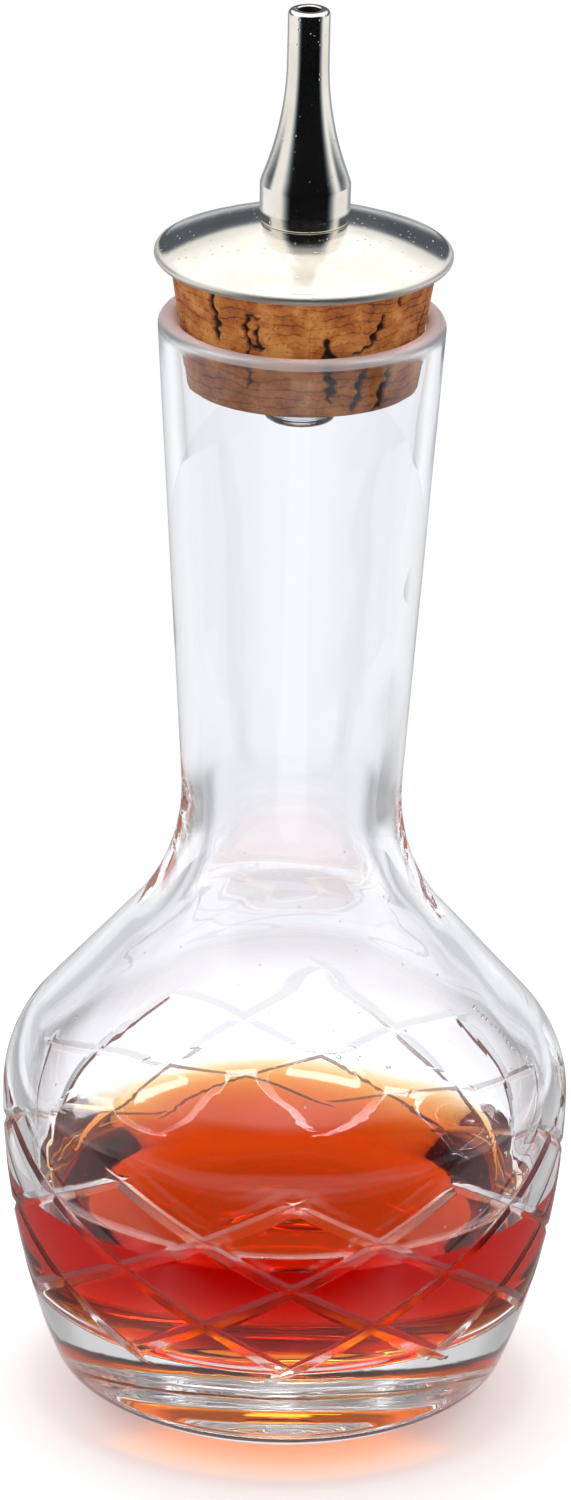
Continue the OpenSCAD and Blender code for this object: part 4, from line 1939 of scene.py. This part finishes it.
    def camera(self) -> bpy.types.Object:
        """Sets up the camera at the photograph's angle, with no shift.

        Returns:
            The camera.
        """
        tilt = math.radians(self.elevation)
        look = Vector((0, math.cos(tilt), -math.sin(tilt)))
        right = Vector((1, 0, 0))
        up = right.cross(look)
        turn = math.radians(self.roll)
        right, up = math.cos(turn) * right + math.sin(turn) * up, math.cos(turn) * up - math.sin(turn) * right
        off_x = self.image_px[0] / 2 - self.axis_px[0]
        off_y = self.image_px[1] / 2 - self.axis_px[1]
        look = (look * self.focal_px + right * off_x - up * off_y).normalized()
        right = look.cross(up).normalized()
        up = right.cross(look)
        data = bpy.data.cameras.new("studio_camera")
        data.sensor_width = self.sensor
        data.lens = self.focal_px / max(self.image_px) * self.sensor
        made = bpy.data.objects.new("studio_camera", data)
        bpy.context.scene.collection.objects.link(made)
        place = Vector((0, -self.distance * math.cos(tilt), self.aim_z + self.distance * math.sin(tilt)))
        basis = Matrix((right, up, -look)).transposed().to_4x4()
        made.matrix_world = Matrix.Translation(place) @ basis
        data.clip_start, data.clip_end = 0.01, 20.0
        bpy.context.scene.camera = made
        return made

    def build(self) -> None:
        """Sets up the table, the world, the lamp and the camera."""
        self.table()
        self.world()
        self.lamp("strip_over")
        self.camera()
        bpy.context.scene.view_settings.view_transform = "Standard"
        cycles = bpy.context.scene.cycles
        cycles.max_bounces = self.bounces
        cycles.transmission_bounces = self.bounces
        cycles.glossy_bounces = self.bounces


def main() -> None:
    """Builds the bottle, its bitters, its stopper and the studio, in that order."""
    logging.basicConfig(level=logging.INFO, format="%(name)s: %(message)s")
    glass = ClearGlass().build()
    # Ground glass scatters part of the light, which makes the lip pale.
    satin = ClearGlass(name="soda_lime_glass_ground", clarity=0.72).build()
    # Where bitters touch the glass it almost disappears.
    wetted = ClearMedium("soda_lime_glass_wetted", GLASS_IOR / BITTERS_IOR).build()
    # The body only colours the light: thin layers look amber and deep ones red.
    volume = ClearMedium("bitters_clear_infusion", 1.0, absorbed="#F9D150", density=450.0).build()
    # The skin bends and mirrors light on top. Its underside has an index of 1, so light crosses it unbent.
    surface = ClearMedium("bitters_surface", BITTERS_IOR).build()
    within = ClearMedium("bitters_within", 1.0).build()
    drops = ClearMedium("bitters_drops", BITTERS_IOR, colour="#FFF4EC").build()
    # Moulded polythene looks slightly hazy.
    moulded = ClearMedium("clear_polythene_moulded", ior=1.49, colour="#F2F5F6", roughness=0.06).build()
    nickel = NickelPlate().build()
    bore = BareBore().build()
    bottle = CutGlassBottle()
    stopper = Stopper()
    stopper.seat(bottle)
    pieces = [bottle.build(glass, wetted, satin)]
    bitters = Bitters(bottle)
    pieces += bitters.build(volume, surface, within)
    pieces.append(Beads(bottle, bitters).build(drops))
    pieces.append(stopper.cork(NaturalCork().build()))
    pieces.append(stopper.cap_plate(nickel))
    pieces.append(stopper.spout(nickel, bore))
    pieces.append(stopper.bush(moulded))
    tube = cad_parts["stem_tube"]
    tube.data.materials.clear()
    tube.data.materials.append(nickel)
    Studio().build()
    for piece in pieces:
        log.info("%s: %d faces", piece.name, len(piece.data.polygons))


if __name__ == "__main__":
    main()
